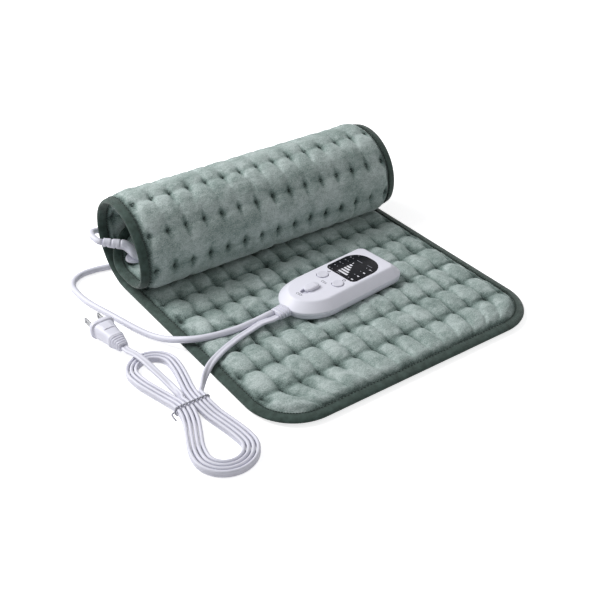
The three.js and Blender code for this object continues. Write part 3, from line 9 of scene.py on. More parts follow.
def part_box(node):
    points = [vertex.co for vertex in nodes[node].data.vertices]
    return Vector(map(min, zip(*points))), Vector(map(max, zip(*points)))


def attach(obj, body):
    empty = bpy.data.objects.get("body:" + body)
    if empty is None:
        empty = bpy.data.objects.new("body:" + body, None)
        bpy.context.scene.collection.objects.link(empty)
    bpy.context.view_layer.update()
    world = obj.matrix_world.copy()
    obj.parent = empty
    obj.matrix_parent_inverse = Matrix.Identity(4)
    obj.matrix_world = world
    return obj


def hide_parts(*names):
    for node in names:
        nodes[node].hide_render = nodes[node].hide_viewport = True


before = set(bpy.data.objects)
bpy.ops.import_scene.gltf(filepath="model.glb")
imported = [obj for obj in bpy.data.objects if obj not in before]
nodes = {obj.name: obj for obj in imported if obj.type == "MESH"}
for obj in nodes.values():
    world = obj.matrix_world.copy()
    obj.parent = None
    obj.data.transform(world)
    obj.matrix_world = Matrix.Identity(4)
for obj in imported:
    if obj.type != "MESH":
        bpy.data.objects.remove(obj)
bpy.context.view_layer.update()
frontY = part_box("edge_binding")[0].y * 1000  # the pad's front edge, in mm


def place(x, y, z):
    # mm from the pad's front edge to metres in the part's frame
    return Vector((x, y + frontY, z)) * 0.001


def linear(hexColour):
    channels = [int(hexColour[i : i + 2], 16) / 255 for i in (1, 3, 5)]
    return [c / 12.92 if c <= 0.04045 else ((c + 0.055) / 1.055) ** 2.4 for c in channels] + [1]


def smooth(share):
    share = min(max(share, 0), 1)
    return share * share * (3 - 2 * share)


def lerp(a, b, share):
    return a + (b - a) * share


def addObject(name, data):
    made = bpy.data.objects.new(name, data)
    bpy.context.scene.collection.objects.link(made)
    return made


def aim(thing, position, target):
    thing.location = place(*position)
    thing.rotation_euler = (place(*target) - thing.location).to_track_quat("-Z", "Y").to_euler()


# Camera

cameraView = {
    "lens": 58.35,
    "position": (-464.15, -472.87, 517.06),
    "target": (-20.35, 153.79, 0),
    "sensor": 36,
    "clip": (0.01, 20),
}


def addCamera():
    data = bpy.data.cameras.new("camera")
    data.lens = cameraView["lens"]
    data.sensor_width = cameraView["sensor"]
    data.clip_start, data.clip_end = cameraView["clip"]
    camera = addObject("camera", data)
    aim(camera, cameraView["position"], cameraView["target"])
    bpy.context.scene.camera = camera


addCamera()
print("camera is in place")


# Materials


def addNode(owner, kind, settings=None, links=None):
    node = owner.node_tree.nodes.new(kind)
    for name, value in (settings or {}).items():
        if name in node.inputs:
            node.inputs[name].default_value = value
        else:
            setattr(node, name, value)
    for name, socket in (links or {}).items():
        owner.node_tree.links.new(socket, node.inputs[name])
    return node


def newMaterial(name, **surface):
    material = bpy.data.materials.new(name)
    material.use_nodes = True
    shader = material.node_tree.nodes["Principled BSDF"]
    for socket, value in surface.items():
        shader.inputs[socket].default_value = value
    return material, shader


def dress(piece, material):
    piece.data.materials.clear()
    piece.data.materials.append(material)


def toned(material, shader, pattern, stops):
    # the base colour: a pattern through a ramp of stops, dark to light
    tones = addNode(material, "ShaderNodeValToRGB", None, {"Fac": pattern})
    ramp = tones.color_ramp.elements
    for k, (at, colour) in enumerate([stops[0], stops[-1], *stops[1:-1]]):
        stop = ramp[k] if k < 2 else ramp.new(at)
        stop.position, stop.color = at, colour
    material.node_tree.links.new(tones.outputs["Color"], shader.inputs["Base Color"])


def bumped(material, shader, *layers):
    # bumps, each over the one before: strength, distance in metres and pattern
    under = {}
    for strength, distance, pattern in layers:
        settings = {"Strength": strength, "Distance": distance}
        bump = addNode(material, "ShaderNodeBump", settings, {"Height": pattern, **under})
        under = {"Normal": bump.outputs["Normal"]}
    material.node_tree.links.new(under["Normal"], shader.inputs["Normal"])


mouldedSet = {
    "patterns": [(1, 3.0), (0.06, 2.0)],  # fine bumps and broad stains: their scale and detail
    "stops": (0.3, 0.7),
    "roughnessSpread": 0.06,
    "bumpShare": 0.3,
}


def moulded(name, colour, roughness, grain, relief, spread=0.05, **surface):
    # a moulded or coated surface: grain is the size in metres of its fine bumps
    material, shader = newMaterial(name, **surface)
    at = addNode(material, "ShaderNodeTexCoord").outputs["Object"]
    patterns = []
    for scale, detail in mouldedSet["patterns"]:
        settings = {"Scale": scale / grain, "Detail": detail}
        patterns.append(addNode(material, "ShaderNodeTexNoise", settings, {"Vector": at}).outputs["Fac"])
    fine, broad = patterns
    full = linear(colour)
    dark = [c * (1 - spread) for c in full[:3]] + [1]
    toned(material, shader, broad, list(zip(mouldedSet["stops"], (dark, full))))
    vary = mouldedSet["roughnessSpread"]
    settings = {"To Min": roughness - vary, "To Max": roughness + vary}
    sheen = addNode(material, "ShaderNodeMapRange", settings, {"Value": fine})
    material.node_tree.links.new(sheen.outputs["Result"], shader.inputs["Roughness"])
    bumped(material, shader, (relief, grain * mouldedSet["bumpShare"], fine))
    return material


# plasticised PVC, extruded: an even satin skin, slightly lilac, that softens the light
cordVinyl = moulded("extrudedVinyl", "#DBDBE7", 0.44, 0.0009, 0.12, 0.04)
# the same PVC moulded over the plug, boot and gland: a little duller from its mould
plugVinyl = moulded("mouldedVinyl", "#DEDEEA", 0.46, 0.0008, 0.18, 0.05)
# ABS from a fine-textured mould: pale and satin, with soft wide highlights
caseAbs = moulded("mouldedAbs", "#E9E9F4", 0.42, 0.0006, 0.1, 0.02, **{"Specular IOR Level": 0.3})
controlAbs = moulded("mouldedAbsControls", "#DDDDE8", 0.42, 0.0006, 0.12, 0.02, **{"Specular IOR Level": 0.3})
# printed polyester overlay over the lamps: near black, with a hard-coated gloss
displayFilm = moulded("polyesterOverlay", "#101118", 0.24, 0.0012, 0.03, 0.2, **{"Specular IOR Level": 0.12})
# screen-printed ink: flat and slightly grey
whiteInk = moulded("whiteInk", "#E9E9F0", 0.55, 0.0005, 0.1)
dimInk = moulded("dimInk", "#85868F", 0.55, 0.0005, 0.1)
greyInk = moulded("greyInk", "#43434F", 0.55, 0.0005, 0.1)
# PVC-coated wire: grey, with the soft gloss of thin plastic
tieVinyl = moulded("coatedWire", "#ACADB8", 0.34, 0.0006, 0.15, 0.2)
# nickel-plated brass, punched and tumbled: bright, with fine rubbing along it
bladeNickel = moulded("nickelPlate", "#96979A", 0.28, 0.0007, 0.12, 0.15, Metallic=1.0)
zincSteel = moulded("zincPlatedSteel", "#B4B7BC", 0.32, 0.0007, 0.15, 0.2, Metallic=1.0)
# glass-fibre laminate under green solder mask: smooth, with the weave just showing
laminate = moulded("solderMaskLaminate", "#2A6B42", 0.34, 0.0009, 0.2, 0.25)
# glass-filled nylon and epoxy of the switches, header and triac: black and matt
blackNylon = moulded("glassFilledNylon", "#222326", 0.55, 0.0007, 0.3, 0.2)
# epoxy-dipped film capacitor
epoxyYellow = moulded("dippedEpoxy", "#C9A13B", 0.4, 0.0012, 0.25, 0.15)
# spun-bonded polyester: white, dull and fibrous
spunBond = moulded("spunBondPolyester", "#D9D9D3", 0.85, 0.0008, 0.8, 0.2)
# silicone jacket: tan, soft and slightly dusty
siliconeJacket = moulded("siliconeRubber", "#B99A6B", 0.6, 0.0008, 0.2, 0.15)


plushSet = {
    "surface": {"Roughness": 0.8, "Sheen Weight": 1.0, "Sheen Roughness": 0.3, "Specular IOR Level": 0.2},
    "sheenTint": "#DDEBE8",
    "stretch": (1.0, 1.5, 1.0),
    # colour from the quilting's height: painted shade in the hollows, painted highlight on the crowns
    "shadedTone": {"From Max": 0.9, "To Min": -0.05, "To Max": 0.79},
    # size in metres, detail and strength in the colour: pile 1.2 mm across, drawn coarser than the
    # real fibres so that it shows, clumps of 5 mm, and strokes of 28 mm where the pile leans another way
    "patterns": [(0.0012, 2.0, 0.46), (0.0052, 3.0, 0.24), (0.028, 2.0, 0.4)],
    "distortion": 0.4,
    "colours": [(0.0, "#2A3733"), (0.3, "#5C6C68"), (0.65, "#8D9D99"), (1.0, "#BFCBC9")],
    "bumps": [(0.55, 0.0007), (0.45, 0.0014)],
}


def plushFinish():
    # short polyester pile, cut and brushed; its colour is painted shade in the quilting's hollows and painted
    # highlight on its crowns
    material, shader = newMaterial("minkyPlush", **plushSet["surface"])
    shader.inputs["Sheen Tint"].default_value = linear(plushSet["sheenTint"])
    link = material.node_tree.links.new
    cloth = addNode(material, "ShaderNodeUVMap", {"uv_map": "flatCloth"}).outputs["UV"]
    brushed = addNode(material, "ShaderNodeMapping", {"Scale": plushSet["stretch"]}, {"Vector": cloth})
    # the quilting's height paints shade into its hollows and highlight onto its crowns
    pillow = addNode(material, "ShaderNodeAttribute", {"attribute_name": "pillow"}).outputs["Fac"]
    shadedTone = addNode(material, "ShaderNodeMapRange", plushSet["shadedTone"], {"Value": pillow}).outputs["Result"]
    relief = []
    for size, detail, amount in plushSet["patterns"]:
        settings = {"Scale": 1 / size, "Detail": detail, "Distortion": plushSet["distortion"]}
        pattern = addNode(material, "ShaderNodeTexNoise", settings, {"Vector": brushed.outputs["Vector"]})
        relief.append(pattern.outputs["Fac"])
        settings = {"From Min": 0.25, "From Max": 0.75, "To Min": -amount / 2, "To Max": amount / 2}
        step = addNode(material, "ShaderNodeMapRange", settings, {"Value": relief[-1]})
        total = addNode(material, "ShaderNodeMath", {"operation": "ADD"})
        link(shadedTone, total.inputs[0])
        link(step.outputs["Result"], total.inputs[1])
        shadedTone = total.outputs[0]
    toned(material, shader, shadedTone, [(at, linear(colour)) for at, colour in plushSet["colours"]])
    bumped(material, shader, *((*bump, pattern) for bump, pattern in zip(plushSet["bumps"], relief)))
    return material


tapeSet = {
    "surface": {"Roughness": 0.75, "Sheen Weight": 0.25, "Sheen Roughness": 0.5, "Specular IOR Level": 0.25},
    # ribs 0.9 mm apart, about twice the real spacing so that they show
    "ribs": {"Scale": 0.3142 / 0.0009, "Distortion": 0.6, "Detail": 1.0, "bands_direction": "X"},
    "wear": {"Scale": 160.0, "Detail": 4.0},
    "colours": [(0.3, "#22322C"), (0.75, "#40534D")],
    "bump": (0.4, 0.0003),
}


def tapeFinish():
    # polyester grosgrain, woven and folded: dark and dull, with fine ribs across the tape
    material, shader = newMaterial("grosgrainTape", **tapeSet["surface"])
    along = addNode(material, "ShaderNodeUVMap", {"uv_map": "alongTape"}).outputs["UV"]
    ribs = addNode(material, "ShaderNodeTexWave", tapeSet["ribs"], {"Vector": along})
    wear = addNode(material, "ShaderNodeTexNoise", tapeSet["wear"], {"Vector": along})
    toned(material, shader, wear.outputs["Fac"], [(at, linear(colour)) for at, colour in tapeSet["colours"]])
    bumped(material, shader, (*tapeSet["bump"], ribs.outputs["Color"]))
    return material


minkyPlush = plushFinish()
grosgrain = tapeFinish()
# spun polyester thread: near black green, matt, a colour that on the tufts' tacks is also painted shade of
# their dimples
thread = moulded("threadWithPaintedShade", "#22302B", 0.8, 0.0004, 0.5, 0.3)
# bonded nylon thread round the gland: off-white, slightly shiny
whiteThread = moulded("bondedNylonThread", "#CFCFD8", 0.5, 0.0004, 0.4, 0.2)


# Cords


def cordRoute(points, perSpan=8):
    # a centripetal spline through the points; a fourth number is the section's turn
    ends = [points[0] * 2 - points[1], *points, points[-1] * 2 - points[-2]]
    route = []
    for before, a, b, after in zip(ends, ends[1:], ends[2:], ends[3:]):
        t0, t1, t2 = (
            max((q.xyz - p.xyz).length, 1e-6) ** 0.5 for p, q in ((before, a), (a, b), (b, after))
        )
        leave = ((a - before) / t0 - (b - before) / (t0 + t1) + (b - a) / t1) * t1
        arrive = ((b - a) / t1 - (after - a) / (t1 + t2) + (after - b) / t2) * t1
        for k in range(perSpan):
            t = k / perSpan
            route.append(
                a * (2 * t**3 - 3 * t**2 + 1)
                + leave * (t**3 - 2 * t**2 + t)
                + b * (3 * t**2 - 2 * t**3)
                + arrive * (t**3 - t**2)
            )
    return route + [points[-1]]


def evenRoute(route, step):
    # the same line with its points a step apart
    even, run = [route[0]], 0.0
    for a, b in zip(route, route[1:]):
        length = (b.xyz - a.xyz).length
        while run + length >= step:
            share = (step - run) / length
            a = a.lerp(b, share)
            even.append(a)
            length, run = (b.xyz - a.xyz).length, 0.0
        run += length
    if run < step / 2:
        even.pop()
    return even + [route[-1]]


def runsOf(route):
    # the distance along a route to each of its points
    runs = [0.0]
    for a, b in zip(route, route[1:]):
        runs.append(runs[-1] + (b.xyz - a.xyz).length)
    return runs


def frameAt(route, k):
    # the directions to the side and up at a point of a route
    tangent = (route[min(k + 1, len(route) - 1)].xyz - route[max(k - 1, 0)].xyz).normalized()
    side = tangent.cross(Vector((0, 0, 1))).normalized()
    return side, side.cross(tangent)


def faceOutwards(bm):
    bmesh.ops.recalc_face_normals(bm, faces=bm.faces[:])


def weld(bm, distance):
    bmesh.ops.remove_doubles(bm, verts=bm.verts[:], dist=distance)


def roundEdges(bm, edges, offset, segments):
    bmesh.ops.bevel(
        bm, geom=edges, offset=offset, segments=segments, affect="EDGES", profile=0.5, material=-1
    )


def straightTube(rings, sides, capped=True):
    # a tube whose rings lie at z = 0, 1, 2 and so on, to be shaped afterwards
    bm = bmesh.new()
    bmesh.ops.create_grid(bm, x_segments=sides, y_segments=rings - 1, size=0.5)
    for vert in bm.verts:
        angle, ring = 2 * math.pi * (vert.co.x + 0.5), round((vert.co.y + 0.5) * (rings - 1))
        vert.co = math.cos(angle), math.sin(angle), ring
    weld(bm, 1e-4)
    if capped:
        bmesh.ops.holes_fill(bm, edges=[e for e in bm.edges if e.is_boundary], sides=0)
    return bm


def shapeTube(bm, shape):
    # shape gives a vertex its place from its angle and its ring
    for vert in bm.verts:
        vert.co = shape(math.atan2(vert.co.y, vert.co.x), round(vert.co.z))
    faceOutwards(bm)
    return bm


def cordTube(name, route, section, sides):
    bm = straightTube(len(route), sides)
    uv = bm.loops.layers.uv.new("alongCord")
    runs = runsOf(route)
    for face in bm.faces:
        for loop in face.loops:
            co = loop.vert.co
            loop[uv].uv = (runs[round(co.z)], abs(math.atan2(co.y, co.x)) / math.pi)
    frames = [(point, *frameAt(route, k)) for k, point in enumerate(route)]

    def shape(angle, ring):
        point, side, up = frames[ring]
        a, b = section(angle, ring)
        c, s = math.cos(point.w), math.sin(point.w)
        return point.xyz + side * (a * c - b * s) + up * (a * s + b * c)

    return finishMesh(name, shapeTube(bm, shape))


def finishMesh(name, bm, sharpAngle=180):
    data = bpy.data.meshes.new(name)
    bm.to_mesh(data)
    bm.free()
    data.shade_smooth()
    if sharpAngle < 180:
        data.set_sharp_from_angle(angle=math.radians(sharpAngle))
    return addObject(name, data)


def joinPiece(piece, slot, material, *replaced, body="heating_pad"):
    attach(piece, body)
    if replaced:
        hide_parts(*replaced)
    dress(piece, material)
    return piece


def ellipsoids(places, size):
    # small rounded bars, such as stitches; each place has its middle, its direction and its up
    length, width, height = (v * 0.001 for v in size)
    bm = bmesh.new()
    bmesh.ops.create_uvsphere(bm, u_segments=6, v_segments=4, radius=1)
    copies = 1
    while copies < len(places):
        made = bmesh.ops.duplicate(bm, geom=bm.verts[:] + bm.edges[:] + bm.faces[:])["geom"]
        fresh = [part for part in made if isinstance(part, bmesh.types.BMVert)]
        bmesh.ops.translate(bm, verts=fresh, vec=(0, 0, 4 * copies))
        copies *= 2
    surplus = [vert for vert in bm.verts if round(vert.co.z / 4) >= len(places)]
    bmesh.ops.delete(bm, geom=surplus, context="VERTS")
    frames = []
    for middle, along, up in places:
        along = along.normalized()
        up = (up - along * up.dot(along)).normalized()
        frames.append((middle, along * length / 2, up.cross(along) * width / 2, up * height / 2))
    for vert in bm.verts:
        k = round(vert.co.z / 4)
        middle, along, across, up = frames[k]
        vert.co = middle + along * vert.co.x + across * vert.co.y + up * (vert.co.z - 4 * k)
    return bm


def rounded(width, height, power, angle):
    # a point of a rounded rectangle, rounder for a low power
    c, s = math.cos(angle), math.sin(angle)
    a = math.copysign(abs(c) ** (2 / power), c) * width / 2
    return a, math.copysign(abs(s) ** (2 / power), s) * height / 2


def outlineOf(corners, inset):
    # a closed outline through elliptic corners: middle, radii, first angle, sweep and steps
    points = []
    for u, v, ru, rv, first, sweep, steps in corners:
        for k in range(steps):
            angle = math.radians(first + sweep * k / (steps - 1))
            points.append((u + (ru - inset) * math.cos(angle), v + (rv - inset) * math.sin(angle)))
    return points


controllerSet = {
    "centre": (9, 136),
    "turn": math.radians(6),
    "base": 9.7,
    "length": 126,
    "width": 62,
    "bootLength": 12,
    "cordHeight": 6,
    "cordGap": 0.3,
}
controllerAxis = Vector((math.cos(controllerSet["turn"]), math.sin(controllerSet["turn"]), 0))
controllerAcross = Vector((-controllerAxis.y, controllerAxis.x, 0))
bootEnd = -controllerSet["length"] / 2 - controllerSet["bootLength"]


def controllerPlace(u, v, w):
    x, y = controllerSet["centre"]
    centre = place(x, y, controllerSet["base"] + w)
    return centre + (controllerAxis * u + controllerAcross * v) * 0.001


def cordEntry(v):
    # where a cord meets the boot's end
    return controllerPlace(bootEnd - controllerSet["cordGap"], v, controllerSet["cordHeight"])


glandSet = {
    "tip": (-152.5, 294.6, 41),
    "direction": (-0.82, 0.55, 0.16),
    "seat": (-126, 548),
    "seatHeight": 5.5,
    "flange": (13, 9),
    "flangeThickness": 1.8,
    "neck": (7.5, 4.5),
    "ribRadius": 5,
    "tipRadius": 4.3,
    "grooveDepth": 0.9,
    "grooveShape": (1.3, 6),  # the share of a groove's depth at its middle, at most 1, and its fall per pitch
    "grooveTurn": (0.35, 0.5),  # how far each groove runs past the neck's middle, and how soft its ends are
    "ribPitch": 4.4,
    "ribs": 4,
    "ribsFromTip": 1.4,
    "tipRun": 23,
    "rootRuns": (-6, -3, 0),
    "tipRuns": (20, 13, 6, 0),
    "neckLift": 0.7,
    "neckStart": 5,
    "neckRun": 9,
    "ribRun": 20,
    "tipRound": (0.15, 0.8, 0.12),  # where its rim starts to round, over what run, and how far in
    "step": 0.0005,
    "sides": 32,
    "domePower": 0.6,
    "stitches": 28,
    "stitchAt": 0.85,
    "stitchHeight": 1.25,
    "stitch": (1.7, 0.6, 0.5),
}
glandTip = place(*glandSet["tip"])
glandDirection = Vector(glandSet["direction"]).normalized()

padCordSet = {
    "diameter": 0.0062,
    "sides": 20,
    "step": 0.003,
    "straight": 0.0031,
    "v": 4.1,
    "route": [
        (-156.9, 301.4, 42.3),
        (-157.3, 309.4, 43),
        (-153.5, 317, 42.2),
        (-145, 320.3, 39.5),
        (-136, 320.5, 35),
        (-126.5, 321.2, 28.5),
        (-117, 324, 20.5),
        (-107, 328, 12),
        (-97, 330.2, 5.8),
        (-86.5, 328, 3.3),
        (-78.5, 320.5, 3.2),
        (-76.5, 311, 3.2),
        (-81, 302.5, 3.2),
        (-90.5, 298.7, 3.2),
        (-104, 299.8, 3.2),
        (-122, 303.7, 3.2),
        (-142, 308, 3.2),
        (-158, 311.3, 3.2),
        (-172, 311, 3.2),
        (-183, 305, 3.2),
        (-189, 295, 3.2),
        (-190, 281.5, 3.2),
        (-189.2, 267.5, 3.2),
        (-186, 252, 3.2),
        (-181, 234, 3.2),
        (-176, 215, 3.2),
        (-170.6, 195, 3.3),
        (-165.3, 179.5, 3.9),
        (-159, 164, 6.6),
        (-150, 149, 11),
        (-138, 139.5, 13),
        (-120.5, 134.6, 13.1),
        (-101, 132.4, 13.2),
        (-84, 132.3, 14),
    ],
}


def addPadCord(material):
    start = glandTip + glandDirection * (controllerSet["cordGap"] * 0.001)
    end = cordEntry(padCordSet["v"])
    points = [start, start + glandDirection * padCordSet["straight"]]
    points += [place(*p) for p in padCordSet["route"]]
    points += [end - controllerAxis * padCordSet["diameter"], end]
    route = evenRoute(cordRoute([p.to_4d() for p in points]), padCordSet["step"])
    for point in route:
        point.w = 0
    radius = padCordSet["diameter"] / 2
    section = lambda angle, ring: (radius * math.cos(angle), radius * math.sin(angle))
    cord = cordTube("padCord", route, section, padCordSet["sides"])
    joinPiece(cord, "cord_pvc", material, "pad_cord")
    length = runsOf(route)[-1]
    print(f"pad cord is laid, {length * 1000:.0f} mm")
    return route


# The mains cord: from the controller, through the hank on its edge, to the plug

powerCordSet = {
    "width": 0.0066,
    "thickness": 0.0032,
    "groove": (0.00055, 0.0007),
    "sides": 24,
    "step": 0.0024,
    "v": -3.9,
    "turns": 4,
    "pitch": 3.8,
    "lowerCentre": (-189.7, 14.3),
    "lowerRadius": 25.9,
    "upperCentre": (-187.1, 135.4),
    "upperRadius": 22.2,
    "waistCentre": (-184.2, 73.5),
    "waistHalf": 13.3,
    "strandHeight": 3.35,
    "tieLift": 1.9,
    "tieReach": 22,
    "arcSteps": 12,
    "flankShares": (0.2, 0.45, 0.68, 0.87),
    "entryRun": 3.5,
    "lead": [
        (-81, 125.7, 14.6, 0),
        (-95, 124.8, 12.6, 0),
        (-113, 120.6, 11.9, 0),
        (-131.5, 113.5, 11.7, 0),
        (-147.5, 105.6, 10.4, 18),
        (-158.3, 98, 6.6, 50),
        (-166, 89.5, 4.2, 80),
    ],
    "plugLead": [
        (-186.1, 88, 4.6, 70),
        (-186.6, 99, 5.6, 25),
        (-187.6, 113, 6.6, 0),
        (-189.4, 130, 8.2, 0),
        (-191.2, 146, 9.5, 0),
        (-193.3, 158, 9.5, 0),
    ],
}
plugSet = {
    "cordEnd": (-196, 172, 9.1),
    "turn": math.radians(3.8),
    "relief": 12,
    "reliefEnd": (9.4, 8.2),
    "ribs": 4,
    "ribDepth": 0.9,
    "collar": (14.6, 12.8),
    "collarLength": 3,
    # how far forward each ring of the collar lies, and how much wider it is
    "collarRings": [(0, -0.3), (0.35, 0.5), (0.9, 0.8), (2.4, 0.8), (2.9, 0.4), (3.1, -0.1)],
    "body": (19.6, 15.4),
    "bodyLength": 20,
    "bodyRings": 12,
    "flare": 0.4,
    "flange": (23.4, 17.8),
    "flangeThickness": 5,
    # how far forward each ring of the flange lies, and its inset
    "flangeRings": [
        (0.05, 1.5), (0.2, 0.7), (0.6, 0.2), (1.2, 0), (3.9, 0), (4.5, 0.2), (4.85, 0.7), (5, 1.4),
    ],
    "sides": 56,
    "squareness": 3.6,
    # the grip panel: its half width, and where it starts and ends behind the flange
    "panel": (4.6, 12, 1.5),
    "panelSlope": 0.0005,
    "panelFrom": 0.003,  # only faces this far above or below the middle
    "panelDepth": 0.7,
    "sharp": 50,
    "bladeSpacing": 12.7,
    "bladeWidth": 6.35,
    "bladeThickness": 1.5,
    "bladeReach": 17.5,
    "bladeRoot": 6,
    "bladeHole": 1.6,
    "bladeHoleFromTip": 3.9,
    "bladeHoleRun": 6,  # long enough to go through the blade
    "bladeCorner": 0.0012,
    "bladeEdge": 0.00022,
    "bladeSharp": 40,
    "bladePocket": (2, 8.6, 0.6),  # its middle behind the face, its depth and its clearance
}
plugAxis = Vector((-math.sin(plugSet["turn"]), math.cos(plugSet["turn"]), 0))
plugAcross = Vector((plugAxis.y, -plugAxis.x, 0))


def plugPlace(x, run, z):
    return place(*plugSet["cordEnd"]) + (plugAcross * x + plugAxis * run + Vector((0, 0, z))) * 0.001


def strandPlace(x, y):
    away = abs(y - powerCordSet["waistCentre"][1]) / powerCordSet["tieReach"]
    lift = powerCordSet["tieLift"] * (1 - smooth(away))
    return place(x, y, powerCordSet["strandHeight"] + lift)


def flankPlace(end, side, share, offset):
    (cx, cy), radius = powerCordSet[end + "Centre"], powerCordSet[end + "Radius"]
    wx, wy = powerCordSet["waistCentre"]
    startX, endX = cx + side * radius, wx + side * powerCordSet["waistHalf"]
    slope = 6 * share * (1 - share) * (endX - startX) / (wy - cy)
    x = lerp(startX, endX, smooth(share)) - side * offset * math.hypot(1, slope)
    return strandPlace(x, lerp(cy, wy, share))


def hankEnd(side, beyond):
    # where the cord joins and leaves the hank
    height = powerCordSet["upperCentre"][1] - powerCordSet["waistCentre"][1]
    share = powerCordSet["flankShares"][-1] - beyond / height
    pitch = powerCordSet["pitch"]
    offset = pitch * (smooth(share) - 1) if side > 0 else pitch * (powerCordSet["turns"] - 1)
    return flankPlace("upper", side, share, offset)


def hankRoute():
    points = []
    wx, wy = powerCordSet["waistCentre"]
    pitch, shares = powerCordSet["pitch"], powerCordSet["flankShares"]

    def loopEnd(end, offset, side, closing):
        for share in reversed(shares):
            points.append(flankPlace(end, side, share, offset))
        (cx, cy), radius = powerCordSet[end + "Centre"], powerCordSet[end + "Radius"] - offset
        for k in range(powerCordSet["arcSteps"] + 1):
            angle = (0 if side > 0 else math.pi) - math.pi * k / powerCordSet["arcSteps"]
            points.append(strandPlace(cx + radius * math.cos(angle), cy + radius * math.sin(angle)))
        for share in shares:
            points.append(
                flankPlace(end, -side, share, offset + (pitch * smooth(share) if closing else 0))
            )

    for turn in range(powerCordSet["turns"]):
        offset = turn * pitch
        points.append(strandPlace(wx + powerCordSet["waistHalf"] - offset, wy))
        loopEnd("lower", offset, 1, False)
        points.append(strandPlace(wx - powerCordSet["waistHalf"] + offset, wy))
        if turn < powerCordSet["turns"] - 1:
            loopEnd("upper", offset, -1, True)
    return points


def twinSection(angle, ring):
    # two joined cores with a shallow groove between them
    a = powerCordSet["width"] / 2 * math.cos(angle)
    half = powerCordSet["thickness"] / 2
    past = max(abs(a) - (powerCordSet["width"] / 2 - half), 0)
    b = math.sqrt(max(half * half - past * past, 0))
    depth, reach = powerCordSet["groove"]
    b -= depth * math.exp(-((a / reach) ** 2))
    return a, math.copysign(b, math.sin(angle))


def addPowerCord(material, ends):
    turned = lambda p, degrees: Vector((*p, math.radians(degrees)))
    start, entry, width = cordEntry(powerCordSet["v"]), powerCordSet["entryRun"], powerCordSet["width"]
    points = [turned(start, 0), turned(start - controllerAxis * width, 0)]
    points += [turned(place(*p[:3]), p[3]) for p in powerCordSet["lead"]]
    points += [turned(hankEnd(1, entry), 90), turned(hankEnd(1, 0), 90)]
    points += [turned(p, 90) for p in hankRoute()]
    points += [turned(hankEnd(-1, 0), 90), turned(hankEnd(-1, entry), 90)]
    points += [turned(place(*p[:3]), p[3]) for p in powerCordSet["plugLead"]]
    end = place(*plugSet["cordEnd"]) - plugAxis * (controllerSet["cordGap"] * 0.001)
    points += [turned(end - plugAxis * width, 0), turned(end, 0)]
    route = evenRoute(cordRoute(points), powerCordSet["step"])
    cord = cordTube("powerCord", route, twinSection, powerCordSet["sides"])
    replaced = ("power_cord_lead", "power_cord_hank", "plug_lead")
    joinPiece(cord, "cord_pvc", material, *replaced)
    length = runsOf(route)[-1]
    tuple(start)
    print(f"power cord is laid, {length * 1000:.0f} mm")
    return route


# Plug: moulded body with a ribbed strain relief, and two blades


# how far along each ring lies, and the share of the groove's depth that it is cut in
ribSet = {
    "end": [(0, 0.7), (0.25, 0.2), (0.7, 0)],
    "groove": [(-0.15, 0), (0, 0.3), (0.15, 0.8), (0.45, 1), (0.95, 1), (1.25, 0.8), (1.4, 0.3), (1.55, 0)],
}


def ribStations(length, ribs, depth, end, full):
    # each ring's run from the cord's end, its width and its height, with a groove before each rib
    pitch = length / (ribs + 0.5)
    runs = list(ribSet["end"])
    for k in range(ribs):
        runs += [((k + 0.5) * pitch + run, cut) for run, cut in ribSet["groove"]]
    stations = []
    for run, cut in runs:
        share, cut = run / length, 2 * cut * depth
        stations.append((run, lerp(end[0], full[0], share) - cut, lerp(end[1], full[1], share) - cut))
    return stations


def plugStations():
    width, height = plugSet["collar"]
    run, flare = plugSet["relief"], plugSet["flare"]
    stations = ribStations(run, plugSet["ribs"], plugSet["ribDepth"], plugSet["reliefEnd"], (width, height))
    stations += [(run + ahead, width + more, height + more) for ahead, more in plugSet["collarRings"]]
    run += plugSet["collarLength"]
    for k in range(plugSet["bodyRings"]):
        share = (k + 1) / plugSet["bodyRings"]
        wide = lerp(width, plugSet["body"][0], smooth(share) * flare + share * (1 - flare))
        high = lerp(height, plugSet["body"][1], share)
        stations.append((run + plugSet["bodyLength"] * share, wide, high))
    run += plugSet["bodyLength"]
    wide, high = plugSet["flange"]
    return stations + [
        (run + ahead, wide - 2 * inset, high - 2 * inset) for ahead, inset in plugSet["flangeRings"]
    ]


